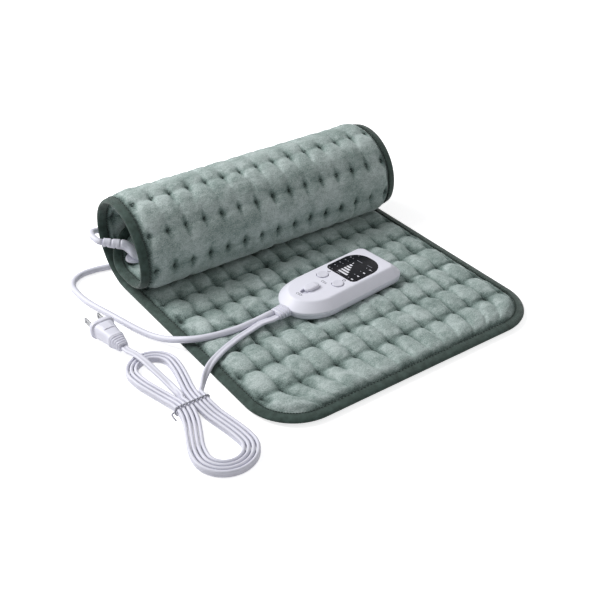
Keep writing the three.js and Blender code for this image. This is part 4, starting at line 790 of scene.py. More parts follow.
def addPlug(bodyMaterial, bladeMaterial):
    stations = plugStations()
    sides = plugSet["sides"]

    def shape(angle, ring):
        run, width, height = stations[ring]
        a, b = rounded(width, height, plugSet["squareness"], angle + math.pi / sides)
        return plugPlace(a, run, b)

    bm = shapeTube(straightTube(len(stations), sides), shape)
    front = plugSet["relief"] + plugSet["collarLength"] + plugSet["bodyLength"]
    half, start, stop = plugSet["panel"]
    slope = plugSet["panelSlope"]
    for up in (1, -1):
        # the grip panel is sunk into the body's upper and lower face
        panel = []
        for face in bm.faces:
            offset = face.calc_center_median() - place(*plugSet["cordEnd"])
            x, run = offset.dot(plugAcross) * 1000, offset.dot(plugAxis) * 1000
            within = abs(x) < half and front - start < run < front - stop
            if len(face.verts) == 4 and within and offset.z * up > plugSet["panelFrom"]:
                panel.append(face)
        bmesh.ops.inset_region(bm, faces=panel, thickness=slope, depth=-plugSet["panelDepth"] * 0.001)
    body = finishMesh("plugBody", bm, plugSet["sharp"])
    front += plugSet["flangeThickness"]
    thick, wide = plugSet["bladeThickness"], plugSet["bladeWidth"]
    behind, deep, clear = plugSet["bladePocket"]
    turn = plugAcross.to_track_quat("Z", "Y").to_matrix().to_4x4()
    radius, through = plugSet["bladeHole"] * 0.001, plugSet["bladeHoleRun"] * 0.001
    cutters = bmesh.new()
    blades = []
    for name, sign in (("plugBladeLeft", -1), ("plugBladeRight", 1)):
        x = sign * plugSet["bladeSpacing"] / 2
        root, tip = front - plugSet["bladeRoot"], front + plugSet["bladeReach"]
        boxInto(cutters, plugPlace, (x, front - behind, 0), (thick + clear, deep, wide + clear))
        blade = bmesh.new()
        boxInto(blade, plugPlace, (x, (root + tip) / 2, 0), (thick, tip - root, wide))
        atTip = lambda vert: (vert.co - plugPlace(0, tip, 0)).dot(plugAxis) > -0.0001
        level = lambda edge: abs(edge.verts[0].co.z - edge.verts[1].co.z) < 1e-6
        corners = [edge for edge in blade.edges if all(map(atTip, edge.verts)) and level(edge)]
        roundEdges(blade, corners, plugSet["bladeCorner"], 3)
        roundEdges(blade, blade.edges[:], plugSet["bladeEdge"], 2)
        blade = finishMesh(name, blade, plugSet["bladeSharp"])
        hole = bmesh.new()
        middle = plugPlace(x, tip - plugSet["bladeHoleFromTip"], 0)
        bmesh.ops.create_cone(
            hole, segments=32, radius1=radius, radius2=radius, depth=through,
            matrix=Matrix.Translation(middle) @ turn, cap_ends=True,
        )
        cutAway(blade, hole)
        node = "plug_blade_left" if sign < 0 else "plug_blade_right"
        blades.append(joinPiece(blade, "blade_metal", bladeMaterial, node))
    cutAway(body, cutters)
    joinPiece(body, "plug_pvc", bodyMaterial, "plug_body")
    return [body, *blades]


def boxInto(bm, placeIn, middle, size):
    # a box in the frame of the controller or the plug, from its middle and its size in mm
    for vert in bmesh.ops.create_cube(bm, size=1)["verts"]:
        vert.co = placeIn(*(m + c * s for m, c, s in zip(middle, vert.co, size)))
    faceOutwards(bm)


def cutAway(piece, bm, operation="DIFFERENCE"):
    # cut a solid out of a piece, or add it
    cutter = finishMesh("cutter", bm)
    boolean = piece.modifiers.new("cut", "BOOLEAN")
    boolean.object, boolean.operation, boolean.solver = cutter, operation, "EXACT"
    applyModifiers(piece)
    bpy.data.objects.remove(cutter)


def evaluatedMesh(piece):
    return bpy.data.meshes.new_from_object(piece.evaluated_get(bpy.context.evaluated_depsgraph_get()))


def applyModifiers(piece):
    baked = evaluatedMesh(piece)
    piece.modifiers.clear()
    old, piece.data = piece.data, baked
    bpy.data.meshes.remove(old)


# Wire tie: two twisted strands round the hank's waist, with a twisted tail

tieSet = {
    "halfWidth": 15.75,
    "bottom": 1.1,
    "top": 9.4,
    "corner": 2.6,
    "strand": 0.5,
    "twist": 0.34,
    "twists": 15,
    "tailTwists": 4,
    "steps": (0.45, 0.4),
    "sides": 10,
    "tail": [(-15.9, 0, 5.2), (-19.2, -0.6, 5.1), (-20.2, -4.2, 4.9), (-20.3, -9, 4.7)],
}


def tieLoop():
    # the loop's middle line as seen along the hank, with its corners rounded
    corner = tieSet["corner"]
    x, low, high = tieSet["halfWidth"] - corner, tieSet["bottom"] + corner, tieSet["top"] - corner
    middles = ((x, high), (-x, high), (-x, low), (x, low))
    corners = [(*middle, corner, corner, 90 * k, 90, 9) for k, middle in enumerate(middles)]
    points = [Vector((a, 0, b)) for a, b in outlineOf(corners, 0)]
    return points + [points[0]]


def addTie(material):
    wx, wy = powerCordSet["waistCentre"]
    bm = bmesh.new()
    loop = evenRoute([p.to_4d() for p in tieLoop()], tieSet["steps"][0])
    tail = evenRoute(cordRoute([Vector(p).to_4d() for p in tieSet["tail"]], 12), tieSet["steps"][1])
    for route, twists, closed in ((loop, tieSet["twists"], True), (tail, tieSet["tailTwists"], False)):
        last = len(route) - 1
        for phase in (0, math.pi):
            tube = straightTube(last + 1, tieSet["sides"], capped=not closed)

            def shape(angle, ring):
                ahead, behind = min(ring + 1, last), max(ring - 1, 0)
                if closed:
                    ring %= last
                    ahead, behind = (ring + 1) % last, (ring - 1) % last
                tangent = (route[ahead].xyz - route[behind].xyz).normalized()
                side = tangent.cross(Vector((0, 1, 0) if closed else (0, 0, 1))).normalized()
                up = side.cross(tangent)
                turn = phase + 2 * math.pi * twists * ring / last
                a = tieSet["twist"] * math.cos(turn) + tieSet["strand"] * math.cos(angle)
                b = tieSet["twist"] * math.sin(turn) + tieSet["strand"] * math.sin(angle)
                at = route[ring].xyz + side * a + up * b
                return place(wx + at.x, wy + at.y, at.z)

            shapeTube(tube, shape)
            weld(tube, 1e-7)
            faceOutwards(tube)
            part = bpy.data.meshes.new("tieStrand")
            tube.to_mesh(part)
            tube.free()
            bm.from_mesh(part)
            bpy.data.meshes.remove(part)
    return joinPiece(finishMesh("wireTie", bm), "tie_plastic", material, "cord_tie")


padRoute = addPadCord(cordVinyl)
powerRoute = addPowerCord(cordVinyl, [*addPlug(plugVinyl, bladeNickel), addTie(tieVinyl)])
print("plug and tie are made")


# The pad's form: x across it, s along it from the front edge, h its height towards the top cover

padSet = {
    "width": 300,
    "length": 590,
    "corner": 48,
    "rollY": 266,
    "rollZ": 47.7,
    "rollRadius": 43.5,
    "wrapPitch": 11.6,
    "seamZ": 4.2,
    "lean": 0.06,
    "wrapFrom": 200,
    "wrapTo": 270,
    "rows": 16,
    "columns": 15,
    "firstRow": 46,
    "firstColumn": 14.9,
    "rowPitch": 33.2,
    "columnPitch": 19.3,
}
halfPad, padLength = padSet["width"] / 2, padSet["length"]


def rollPoint(degrees):
    share = (degrees - padSet["wrapFrom"]) / (padSet["wrapTo"] - padSet["wrapFrom"])
    radius = padSet["rollRadius"] - padSet["wrapPitch"] * smooth(share)
    up = radius * math.sin(math.radians(degrees))
    back = radius * math.cos(math.radians(degrees))
    return Vector((padSet["rollY"] + back + padSet["lean"] * up, padSet["rollZ"] + up))


def traceRoll():
    degrees, point = -90, rollPoint(-90)
    trace = [(point.x, point)]
    while trace[-1][0] < padLength + 2:
        degrees += 1
        point = rollPoint(degrees)
        trace.append((trace[-1][0] + (point - trace[-1][1]).length, point))
    return trace


rollTrace = traceRoll()
flatLength = rollTrace[0][0]


def pathAt(s):
    # the point and the direction towards the top cover at a distance from the front edge
    if s <= flatLength:
        return Vector((s, padSet["seamZ"])), Vector((0, 1))
    k = min(max(bisect.bisect_left(rollTrace, s, key=lambda entry: entry[0]), 1), len(rollTrace) - 2)
    (before, a), (after, b) = rollTrace[k - 1], rollTrace[k]
    share = (s - before) / (after - before)
    tangentHere = (b - a).normalized()
    tangentNext = (rollTrace[k + 1][1] - b).normalized()
    tangentLast = (a - rollTrace[k - 2][1]).normalized() if k > 1 else Vector((1, 0))
    along = (tangentLast + tangentHere).lerp(tangentHere + tangentNext, share).normalized()
    return a.lerp(b, share), Vector((-along.y, along.x))


def padPlace(x, s, h, station=None):
    point, up = station or pathAt(s)
    return place(x, point.x + up.x * h, point.y + up.y * h)


def halfWidthAt(s, inset):
    fromEnd = min(s, padLength - s)
    full = halfPad - inset
    if fromEnd >= padSet["corner"]:
        return full
    radius = padSet["corner"] - inset
    along = min(padSet["corner"] - fromEnd, radius)
    return halfPad - padSet["corner"] + math.sqrt(radius**2 - along**2)


def insideBy(x, s):
    # how far a point lies inside the pad's outline
    fromEnd = min(s, padLength - s)
    beyond = abs(x) - (halfPad - padSet["corner"])
    if beyond > 0 and fromEnd < padSet["corner"]:
        return padSet["corner"] - math.hypot(beyond, padSet["corner"] - fromEnd)
    return min(halfPad - abs(x), fromEnd)


# Quilted covers: simulated as flat sheets, ten times their size, and then rolled up

quiltSet = {
    "scale": 10,
    "inset": 3,
    "seamInset": 9,
    "inner": 1.3,
    "columnCells": (6, 2),  # cells between two tufts, and in the margin
    "rowCells": (10, 11),
    "crowd": 0.42,  # how much closer the sheet's points are at the tufts
    "pull": 2.2,  # how far the tufts are drawn below their plane, before the sheet is smoothed
    "pullReach": 1.5,
    "creaseReach": (17, 11, 26),  # beyond a tuft, before it, and in the margins
    "creaseSpread": (0.4, 0.4, 0.5),
    "skewSpread": 0.3,
    # how far apart the noise is read from one pillow to the next, so that no two are alike
    "pillowNoise": {"swell": 1.37, "margin": 3.3, "crease": 2.1, "skew": 3.7},
    # how far each wrinkle reaches across and along, its own noise and its share
    "wrinkles": [(5.5, 7, 0, 1), (13, 16, 4, 0.6), (3.4, 12, 8, 0.5)],
    "edgeReach": 16,
    "edgeRise": (0.2, 1.1),  # the cover's highest: at the seam, in mm, and further in, in crowns
    "frames": 16,
    "cloth": {
        "quality": 5,
        "mass": 0.1,
        "vertex_group_mass": "pins",
        "tension_stiffness": 15,
        "compression_stiffness": 15,
        "shear_stiffness": 5,
        "use_pressure": True,
    },
    "least": 0.35,
    # near the seam: how far in, and the covers' rise per mm, first gentle and then steep
    "hem": {"reach": 10, "gentle": 0.11, "steepFrom": 6.4, "steep": 0.9},
    "thread": 0.15,
    "tackTop": {"shifts": [(0, 0)], "size": (3.0, 1.0, 0.8)},
    "tackBottom": {"shifts": [(-1.5, 1.2), (1.5, -1.2)], "size": (1.7, 1.2, 0.8)},
    "top": {
        "crown": 7.4,
        "crease": 5.4,
        "creaseLeast": 0.5,
        "valley": 3.2,
        "valleyReach": 7.0,
        "skew": 1.4,
        "swell": 0.3,
        "wrinkle": 1.9,
        "cloth": {
            "shrink_min": -0.03,
            "uniform_pressure_force": 1.1,
            "bending_stiffness": 0.3,
        },
        "rowHold": 0.5,
        "lift": 0.7,
        "rise": 0.8,
        "most": 9.5,
        "seed": 3.1,
    },
    "bottom": {
        "crown": 5.0,
        "crease": 2.3,
        "creaseLeast": 0.12,
        "valley": 3.9,
        "valleyReach": 6.4,
        "skew": 1.0,
        "swell": 0.2,
        "wrinkle": 1.1,
        "cloth": {
            "shrink_min": -0.015,
            "uniform_pressure_force": 2.0,
            "bending_stiffness": 0.6,
        },
        "rowHold": 0.0,
        "lift": 0.5,
        "rise": 0.98,
        "most": 6.6,
        "seed": 17.7,
    },
}


def arch(share):
    # a filled pillow's rise from its seam: steep at the seam, level at the crown
    share = min(max(share, 0), 1)
    return math.sqrt(share * (2 - share))


def varied(amount, *at):
    # 1, more or less by a share of the noise at a place
    return 1 + amount * noise.noise(Vector(at))


def quiltGuess(x, s, form):
    # the quilting before the simulation, from the plane through the tufts
    seed, pitch, rowPitch = form["seed"], padSet["columnPitch"], padSet["rowPitch"]
    column = x / pitch + (padSet["columns"] - 1) / 2
    row = (s - padSet["firstRow"]) / rowPitch
    nearColumn = min(max(round(column), 0), padSet["columns"] - 1)
    nearRow = min(max(round(row), 0), padSet["rows"] - 1)
    dx, dy = abs(column - nearColumn) * pitch, abs(row - nearRow) * rowPitch
    pillow, apart = Vector((math.floor(column), math.floor(row), seed)), quiltSet["pillowNoise"]
    swell = varied(form["swell"], *(pillow * apart["swell"] + Vector((0.5, 0.5, 0.5))))
    # creases run from each tuft, further on the far side and in the margins
    inMargin = not 0 < row < padSet["rows"] - 1
    kind = 2 if inMargin else 0 if row > nearRow else 1
    at = (nearColumn * apart["margin"], nearRow, seed) if inMargin else pillow * apart["crease"]
    reach = quiltSet["creaseReach"][kind] * varied(quiltSet["creaseSpread"][kind], *at)
    hold = lerp(1, form["creaseLeast"], smooth(dy / reach))
    valley = form["valley"] * arch(dx / form["valleyReach"])
    # each pillow leans over its right-hand crease
    uneven = quiltSet["skewSpread"] * noise.noise(pillow * apart["skew"])
    skew = form["skew"] + uneven * (form["skew"] - 1)
    across = (column - math.floor(column)) ** skew
    crown = form["crown"] * swell - form["crease"] * hold * (1 - arch(2 * min(across, 1 - across)))
    for wide, long, shift, share in quiltSet["wrinkles"]:
        crown += form["wrinkle"] * share * noise.noise(Vector((x / wide, s / long, seed + shift)))
    edge = min(halfPad - abs(x), s, padLength - s) - quiltSet["seamInset"]
    height = valley + (crown - valley) * arch(dy / (rowPitch / 2))
    beside, over = quiltSet["edgeRise"]
    height = max(min(height, form["crown"] * over * arch(edge / quiltSet["edgeReach"]) + beside), 0)
    return height - quiltSet["pull"] * max(1 - math.hypot(dx, dy) / quiltSet["pullReach"], 0)


def sheetLines(length, first, pitch, count, cells, margin):
    # places across a sheet in one direction, closer together at the tufts
    crowd, seam = quiltSet["crowd"], quiltSet["seamInset"]
    inner = [
        first + pitch * (k + i / cells - crowd * math.sin(2 * math.pi * i / cells) / (2 * math.pi))
        for k in range(count - 1)
        for i in range(cells)
    ]
    inner.append(first + pitch * (count - 1))
    outer = [seam + (first - seam) * i / margin for i in range(margin)]
    outer = [quiltSet["inset"], (quiltSet["inset"] + seam) / 2] + outer
    return outer + inner + [length - at for at in reversed(outer)]


def quiltSheet(name, form):
    # x and s are measured from the sheet's corner here
    across = [padSet[name] for name in ("width", "firstColumn", "columnPitch", "columns")]
    along = [padSet[name] for name in ("length", "firstRow", "rowPitch", "rows")]
    xs = sheetLines(*across, *quiltSet["columnCells"])
    rows = sheetLines(*along, *quiltSet["rowCells"])
    toScene = quiltSet["scale"] * 0.001
    bm = bmesh.new()
    bmesh.ops.create_grid(bm, x_segments=len(xs) - 1, y_segments=len(rows) - 1, size=0.5)
    uv = bm.loops.layers.uv.new("flatCloth")
    held = {}
    for vert in bm.verts:
        i = round((vert.co.x + 0.5) * (len(xs) - 1))
        j = round((vert.co.y + 0.5) * (len(rows) - 1))
        x, s = xs[i] - halfPad, rows[j]
        column = (xs[i] - padSet["firstColumn"]) / padSet["columnPitch"]
        row = (s - padSet["firstRow"]) / padSet["rowPitch"]
        onColumn = abs(column - round(column)) < 0.001 and -0.5 < column < padSet["columns"] - 0.5
        onRow = abs(row - round(row)) < 0.001 and -0.5 < row < padSet["rows"] - 0.5
        edge = min(halfPad - abs(x), s, padLength - s)
        if edge < quiltSet["seamInset"] + 0.01 or (onColumn and onRow):
            held[(i, j)] = 1.0
        elif onRow:
            held[(i, j)] = form["rowHold"]
        vert.co = Vector((x, s, quiltGuess(x, s, form))) * toScene
        vert.index = j * len(xs) + i
    bm.verts.sort()
    bm.verts.index_update()
    for face in bm.faces:
        for loop in face.loops:
            loop[uv].uv = loop.vert.co.xy / quiltSet["scale"]
    sheet = finishMesh(name, bm)
    pins = sheet.vertex_groups.new(name="pins")
    for (i, j), weight in held.items():
        if weight:
            pins.add([j * len(xs) + i], weight, "REPLACE")
    return sheet


def inflate(sheet, form):
    cloth = sheet.modifiers.new("cloth", "CLOTH")
    cloth.point_cache.frame_start, cloth.point_cache.frame_end = 1, quiltSet["frames"]
    cloth.collision_settings.use_collision = False
    cloth.collision_settings.use_self_collision = False
    for setting, value in {**quiltSet["cloth"], **form["cloth"]}.items():
        setattr(cloth.settings, setting, value)
    cloth.settings.effector_weights.gravity = 0
    for frameNumber in range(1, quiltSet["frames"] + 1):
        bpy.context.scene.frame_set(frameNumber)
    applyModifiers(sheet)
    bpy.context.scene.frame_set(1)


# where something lies on the covers or in the roll, and how far they may rise there
pressSet = {
    "controllerTo": 200,
    "controllerHalf": (62, 30),
    "controllerRise": (5.1, 0.5),
    "gland": {"reach": 1.8, "from": 1.02, "below": 0.35, "slope": 9},
    "inWrap": (228, 350, 10, 9.5, 6),
    "outWrap": (505, 12, 6.6, 5),
    "step": 0.25,
}


def outsideController(point):
    # how far a point of the pad lies outside the controller's outline
    offset = point - controllerPlace(0, 0, 0)
    u, v = offset.dot(controllerAxis) * 1000, offset.dot(controllerAcross) * 1000
    long, wide = pressSet["controllerHalf"]
    return max(abs(u) - long, abs(v) - wide, 0)


def pointTree(points):
    tree = kdtree.KDTree(len(points))
    for k, point in enumerate(points):
        tree.insert(point, k)
    tree.balance()
    return tree


def cordTree(routes):
    # points along the cords' middle lines, a millimetre apart, to keep the plush clear of them
    spots = []
    for route, offset, radius in routes:
        fine = evenRoute(route, 0.001)
        for k, point in enumerate(fine):
            side, up = frameAt(fine, k)
            across = side * math.cos(point.w) + up * math.sin(point.w)
            for shift in (-offset, 0, offset) if offset else (0,):
                spots.append((point.xyz + across * shift, radius))
    return pointTree([spot for spot, radius in spots]), [radius for spot, radius in spots]


def pressedHeight(x, s, side, height, cords, station):
    # the cover gives way to the controller, the gland and the cords that lie on or under it
    inStart, inEnd, inRun, *inRise = pressSet["inWrap"]
    outStart, outRun, *outRise = pressSet["outWrap"]
    if side > 0:
        if s < pressSet["controllerTo"]:
            base, slope = pressSet["controllerRise"]
            height = min(height, base + slope * outsideController(place(x, s, 0)))
        (seatX, seatS), (long, wide), gland = glandSet["seat"], glandSet["flange"], pressSet["gland"]
        share = math.hypot((x - seatX) / long, (s - seatS) / wide)
        if share < gland["reach"]:
            seat = glandSet["seatHeight"] - gland["below"]
            height = min(height, seat + gland["slope"] * max(share - gland["from"], 0))
        if inStart < s < inEnd:
            height = min(height, lerp(*inRise, smooth((s - inStart) / inRun)))
    elif s > outStart:
        height = min(height, lerp(*outRise, smooth((s - outStart) / outRun)))
    tree, radii = cords
    while height > 1:
        at = padPlace(x, s, side * height, station)
        index, distance = tree.find(at)[1:]
        if distance > radii[index]:
            break
        height -= pressSet["step"]
    return height


def addCover(name, side, form, cords, replaced):
    sheet = quiltSheet(name, form)
    inflate(sheet, form)
    finer = sheet.modifiers.new("finer", "SUBSURF")
    finer.levels = finer.render_levels = 1
    applyModifiers(sheet)
    bm = bmesh.new()
    bm.from_mesh(sheet.data)
    bpy.data.objects.remove(sheet)
    pillow = bm.verts.layers.float.new("pillow")
    inset, inner, hem = quiltSet["inset"], quiltSet["inner"], quiltSet["hem"]
    flat, heights = {}, []
    for vert in bm.verts:
        x, s, rise = vert.co * (1000 / quiltSet["scale"])
        if side < 0:
            x = -x
        s = min(max(s, inset), padLength - inset)
        x *= halfWidthAt(s, inset) / (halfPad - inset)
        inside = insideBy(x, s) - inset
        height = min(max(form["lift"] + form["rise"] * rise, quiltSet["least"]), form["most"])
        if inside < hem["reach"]:
            gentle, steep = hem["gentle"] * max(inside, 0), hem["steep"] * max(inside - hem["steepFrom"], 0)
            height = min(height, inner + gentle + steep)
        station = pathAt(s)
        if height > 2:
            height = pressedHeight(x, s, side, height, cords, station)
        if vert.is_boundary:
            height = inner
        flat[vert] = (x, s)
        heights.append(height)
        # the height as a share of the crown, from which the plush's colour paints shade into the hollows and
        # highlight onto the crowns
        vert[pillow] = rise / form["crown"]
        vert.co = padPlace(x, s, side * height, station)
        vert.co.z = max(vert.co.z, 0.0001)
    # the inner face spans from edge to edge, a row at a time
    rim = {}
    for vert in bm.verts:
        if vert.is_boundary:
            rim.setdefault(round(flat[vert][1], 2), []).append(vert)
    levels = sorted(rim)
    for level in levels:
        rim[level].sort(key=lambda vert: flat[vert][0])
    for low, high in zip(levels, levels[1:]):
        bm.faces.new([*rim[low], *reversed(rim[high])])
    faceOutwards(bm)
    cover = joinPiece(finishMesh(name, bm), "plush", minkyPlush, replaced)
    surface = pointTree([(x, s, 0) for x, s in flat.values()])
    return lambda x, s: heights[surface.find((x, s, 0))[1]]


def sewnAt(x, s, height, along, side):
    # the middle, the direction and the up of a stitch on the pad
    middle = padPlace(x, s, height)
    ahead = padPlace(x + along[0], s + along[1], height) - middle
    return middle, ahead, padPlace(x, s, height + side) - middle


def addTacks(name, side, surface, tack):
    # the thread of each tuft, drawn down into the plush; its dark colour is painted shade of the tuft's
    # dimple
    places = []
    for row in range(padSet["rows"]):
        s = padSet["firstRow"] + padSet["rowPitch"] * row
        for column in range(padSet["columns"]):
            x = padSet["columnPitch"] * (column - (padSet["columns"] - 1) / 2)
            for across, forward in tack["shifts"]:
                height = surface(x + across, s + forward) + quiltSet["thread"]
                places.append(sewnAt(x + across, s + forward, side * height, (1, 0), side))
    joinPiece(finishMesh(name, ellipsoids(places, tack["size"])), "binding_tape", thread)


cords = cordTree(((padRoute, 0, 0.0033), (powerRoute, 0.0017, 0.0019)))
topSurface = addCover("plushTop", 1, quiltSet["top"], cords, "pad_top_cover")
bottomSurface = addCover("plushBottom", -1, quiltSet["bottom"], cords, "pad_bottom_cover")
addTacks("tackThreadsTop", 1, topSurface, quiltSet["tackTop"])
addTacks("tackThreadsBottom", -1, bottomSurface, quiltSet["tackBottom"])
print("covers are quilted")


# Binding: one folded tape round the edge

bindingSet = {
    "width": 8.8,
    "outer": 3.1,
    "leg": 0.6,
    "sewnEdge": (0.4, 0.3),  # how far the tape's sewn edge is rounded, inwards and down
    # from the tape's sewn edge outwards: distance from the pad's edge, and how far below its top
    "flank": [(7.4, 0.08), (6, 0.18), (4.6, 0.35)],
    "fold": [(3.3, 2.45), (2.1, 2.05), (1.1, 1.5), (0.35, 0.85), (0, 0)],
    "inside": (2.6, 1.4),
    "step": 3,
    "cornerSteps": 26,
    "stitchPitch": 3.4,
    "stitch": (2.4, 1.0, 0.9),
    "stitchDepth": 8.1,
    # how uneven the tape's inner part, its thickness and its stitches are, and over what distance
    "ripple": (0.35, 9),
    "puff": (0.05, 6),
    "wander": (0.25, 4),
    "rippleFrom": 5,
    "stitchRise": 0.1,
    "lap": (36, 50, 1.12),  # where the tape's ends overlap, and how much thicker it is there
}


def outlineStations(step):
    # points round the pad's outline on the unrolled pad, each with its direction inwards
    places = []
    corner = padSet["corner"]
    straight, far = halfPad - corner, padLength - corner

    def line(start, end, inward):
        count = max(round((end - start).length / step), 1)
        for k in range(count):
            places.append((start.lerp(end, k / count), inward))

    def bend(centre, first):
        for k in range(bindingSet["cornerSteps"]):
            angle = first - math.pi / 2 * k / bindingSet["cornerSteps"]
            outward = Vector((math.cos(angle), math.sin(angle)))
            places.append((centre + outward * corner, -outward))

    bend(Vector((-straight, corner)), math.pi * 1.5)
    line(Vector((-halfPad, corner)), Vector((-halfPad, far)), Vector((1, 0)))
    bend(Vector((-straight, far)), math.pi)
    line(Vector((-straight, padLength)), Vector((straight, padLength)), Vector((0, -1)))
    bend(Vector((straight, far)), math.pi / 2)
    line(Vector((halfPad, far)), Vector((halfPad, corner)), Vector((-1, 0)))
    bend(Vector((straight, corner)), 0)
    line(Vector((straight, 0)), Vector((-straight, 0)), Vector((0, 1)))
    return places


def bindingSection():
    # depth inwards from the edge and height, outside first and then inside
    width, outer, inner = bindingSet["width"], bindingSet["outer"], bindingSet["outer"] - bindingSet["leg"]
    across, down = bindingSet["sewnEdge"]
    upper = [(width, outer - down), (width - across, outer)]
    upper += [(depth, outer - below) for depth, below in bindingSet["flank"]] + bindingSet["fold"]
    lower = [(depth, -height) for depth, height in reversed(upper[:-1])]
    depth, height = bindingSet["inside"]
    return upper + lower + [(width, -inner), (depth, -height), (depth, height), (width, inner)]


def addBinding():
    places = outlineStations(bindingSet["step"])
    section = bindingSection()
    bm = straightTube(len(places) + 1, len(section), capped=False)
    uv = bm.loops.layers.uv.new("alongTape")
    order = {}
    for vert in bm.verts:
        turn = math.atan2(vert.co.y, vert.co.x) / (2 * math.pi) * len(section)
        order[vert] = (round(turn) % len(section), round(vert.co.z))
    for face in bm.faces:
        for loop in face.loops:
            i, k = order[loop.vert]
            loop[uv].uv = (k * bindingSet["step"] * 0.001, section[i][0] * 0.001)
    total = len(places)
    lapStart, lapEnd, lapMore = bindingSet["lap"]
    ripple, puff = bindingSet["ripple"], bindingSet["puff"]
    for vert in bm.verts:
        i, k = order[vert]
        depth, height = section[i]
        point, inward = places[k % total]
        if depth > bindingSet["rippleFrom"]:
            depth += ripple[0] * noise.noise(Vector((point.x / ripple[1], point.y / ripple[1], 5)))
        height *= varied(puff[0], point.x / puff[1], point.y / puff[1], 2)
        if point.y < 1 and lapStart < point.x < lapEnd:
            height *= lapMore
        at = point + inward * depth
        vert.co = padPlace(at.x, at.y, height)
        vert.co.z = max(vert.co.z, 0.0002)
    weld(bm, 1e-6)
    faceOutwards(bm)
    joinPiece(finishMesh("bindingTape", bm), "binding_tape", grosgrain, "edge_binding")


def addBindingStitches():
    places = []
    amount, size = bindingSet["wander"]
    for point, inward in outlineStations(bindingSet["stitchPitch"]):
        wander = amount * noise.noise(Vector((point.x / size, point.y / size, 8)))
        at = point + inward * (bindingSet["stitchDepth"] + wander)
        for side in (1, -1):
            height = side * (bindingSet["outer"] + bindingSet["stitchRise"])
            places.append(sewnAt(at.x, at.y, height, (-inward.y, inward.x), side))
    stitches = finishMesh("bindingStitches", ellipsoids(places, bindingSet["stitch"]))
    joinPiece(stitches, "binding_tape", thread)


addBinding()
addBindingStitches()
print("binding is sewn on")


# Gland: a flange sewn to the plush, and a ribbed neck for the cord


def glandSizes(run, total):
    # the neck's half width and half height at each point of its run, its groove and the groove's side
    neckWide, neckHigh = glandSet["neck"]
    taperFrom, tipRun = glandSet["neckRun"], glandSet["tipRun"]
    rim, rimRun, rimIn = glandSet["tipRound"]
    crest, fall = glandSet["grooveShape"]
    sizes = []
    for at in run:
        toTip = total - at
        taper = smooth((at - taperFrom) / (total - tipRun - taperFrom))
        radius = lerp(glandSet["ribRadius"], glandSet["tipRadius"], smooth(1 - toTip / glandSet["ribRun"]))
        start = math.sqrt(max(1 - (1 - min(at / glandSet["neckStart"], 1)) ** 2, 0.01))
        end = math.sqrt(max(1 - (1 - min((toTip + rim) / rimRun, 1)) ** 2, 0)) * rimIn + (1 - rimIn)
        groove = (toTip - glandSet["ribsFromTip"]) / glandSet["ribPitch"]
        inGroove = 0 <= groove < glandSet["ribs"]
        depth = glandSet["grooveDepth"] * smooth(crest - abs((groove % 1) - 0.5) * fall) if inGroove else 0
        wide, high = (lerp(size, radius, taper) * start * end for size in (neckWide, neckHigh))
        sizes.append((wide, high, depth, 1 if int(groove) % 2 else -1))
    return sizes


def addGland(material, threadMaterial):
    (seatX, seatS), (long, wide) = glandSet["seat"], glandSet["flange"]
    low, thick = glandSet["seatHeight"], glandSet["flangeThickness"]
    seat = padPlace(seatX, seatS, low)
    normal = (padPlace(seatX, seatS, low + 1) - seat).normalized()
    rise = thick + glandSet["neck"][1] * glandSet["neckLift"]
    points = [seat + (normal * rise - Vector((run, 0, 0))) * 0.001 for run in glandSet["rootRuns"]]
    points += [glandTip - glandDirection * 0.001 * back for back in glandSet["tipRuns"]]
    route = evenRoute(cordRoute([p.to_4d() for p in points], 16), glandSet["step"])
    run = [0.0]
    for a, b in zip(route, route[1:]):
        run.append(run[-1] + (b.xyz - a.xyz).length * 1000)
    total = run[-1]
    turn = math.atan2(-normal.y, normal.z)
    for point, at in zip(route, run):
        point.w = turn * (1 - smooth(at / (total - glandSet["tipRun"])))
    sizes = glandSizes(run, total)
    past, soft = glandSet["grooveTurn"]

    def section(angle, ring):
        halfWidth, halfHeight, depth, side = sizes[ring]
        depth *= smooth((math.sin(angle) * side + past) / soft)
        return (halfWidth - depth) * 0.001 * math.cos(angle), (halfHeight - depth) * 0.001 * math.sin(angle)

    neck = cordTube("padGland", route, section, glandSet["sides"])
    bm = bmesh.new()
    bm.from_mesh(neck.data)
    for vert in bmesh.ops.create_uvsphere(bm, u_segments=44, v_segments=18, radius=1)["verts"]:
        height = thick * max(vert.co.z, 0) ** glandSet["domePower"]
        vert.co = padPlace(seatX + long * vert.co.x, seatS + wide * vert.co.y, low + height)
    faceOutwards(bm)
    bm.to_mesh(neck.data)
    bm.free()
    joinPiece(neck, "cord_pvc", material, "pad_gland")
    share, above = glandSet["stitchAt"], glandSet["stitchHeight"]

    def spot(turn, height):
        x, s = seatX + share * long * math.cos(turn), seatS + share * wide * math.sin(turn)
        return padPlace(x, s, low + height)

    places = []
    for k in range(glandSet["stitches"]):
        angle = 2 * math.pi * k / glandSet["stitches"]
        middle = spot(angle, above)
        places.append((middle, spot(angle + 0.05, above) - middle, spot(angle, above + 1) - middle))
    stitches = finishMesh("glandStitches", ellipsoids(places, glandSet["stitch"]))
    joinPiece(stitches, "cord_pvc", threadMaterial)


addGland(plugVinyl, whiteThread)
print("gland is sewn on")


# Controller: u along it towards the display, v across it, w up from its base

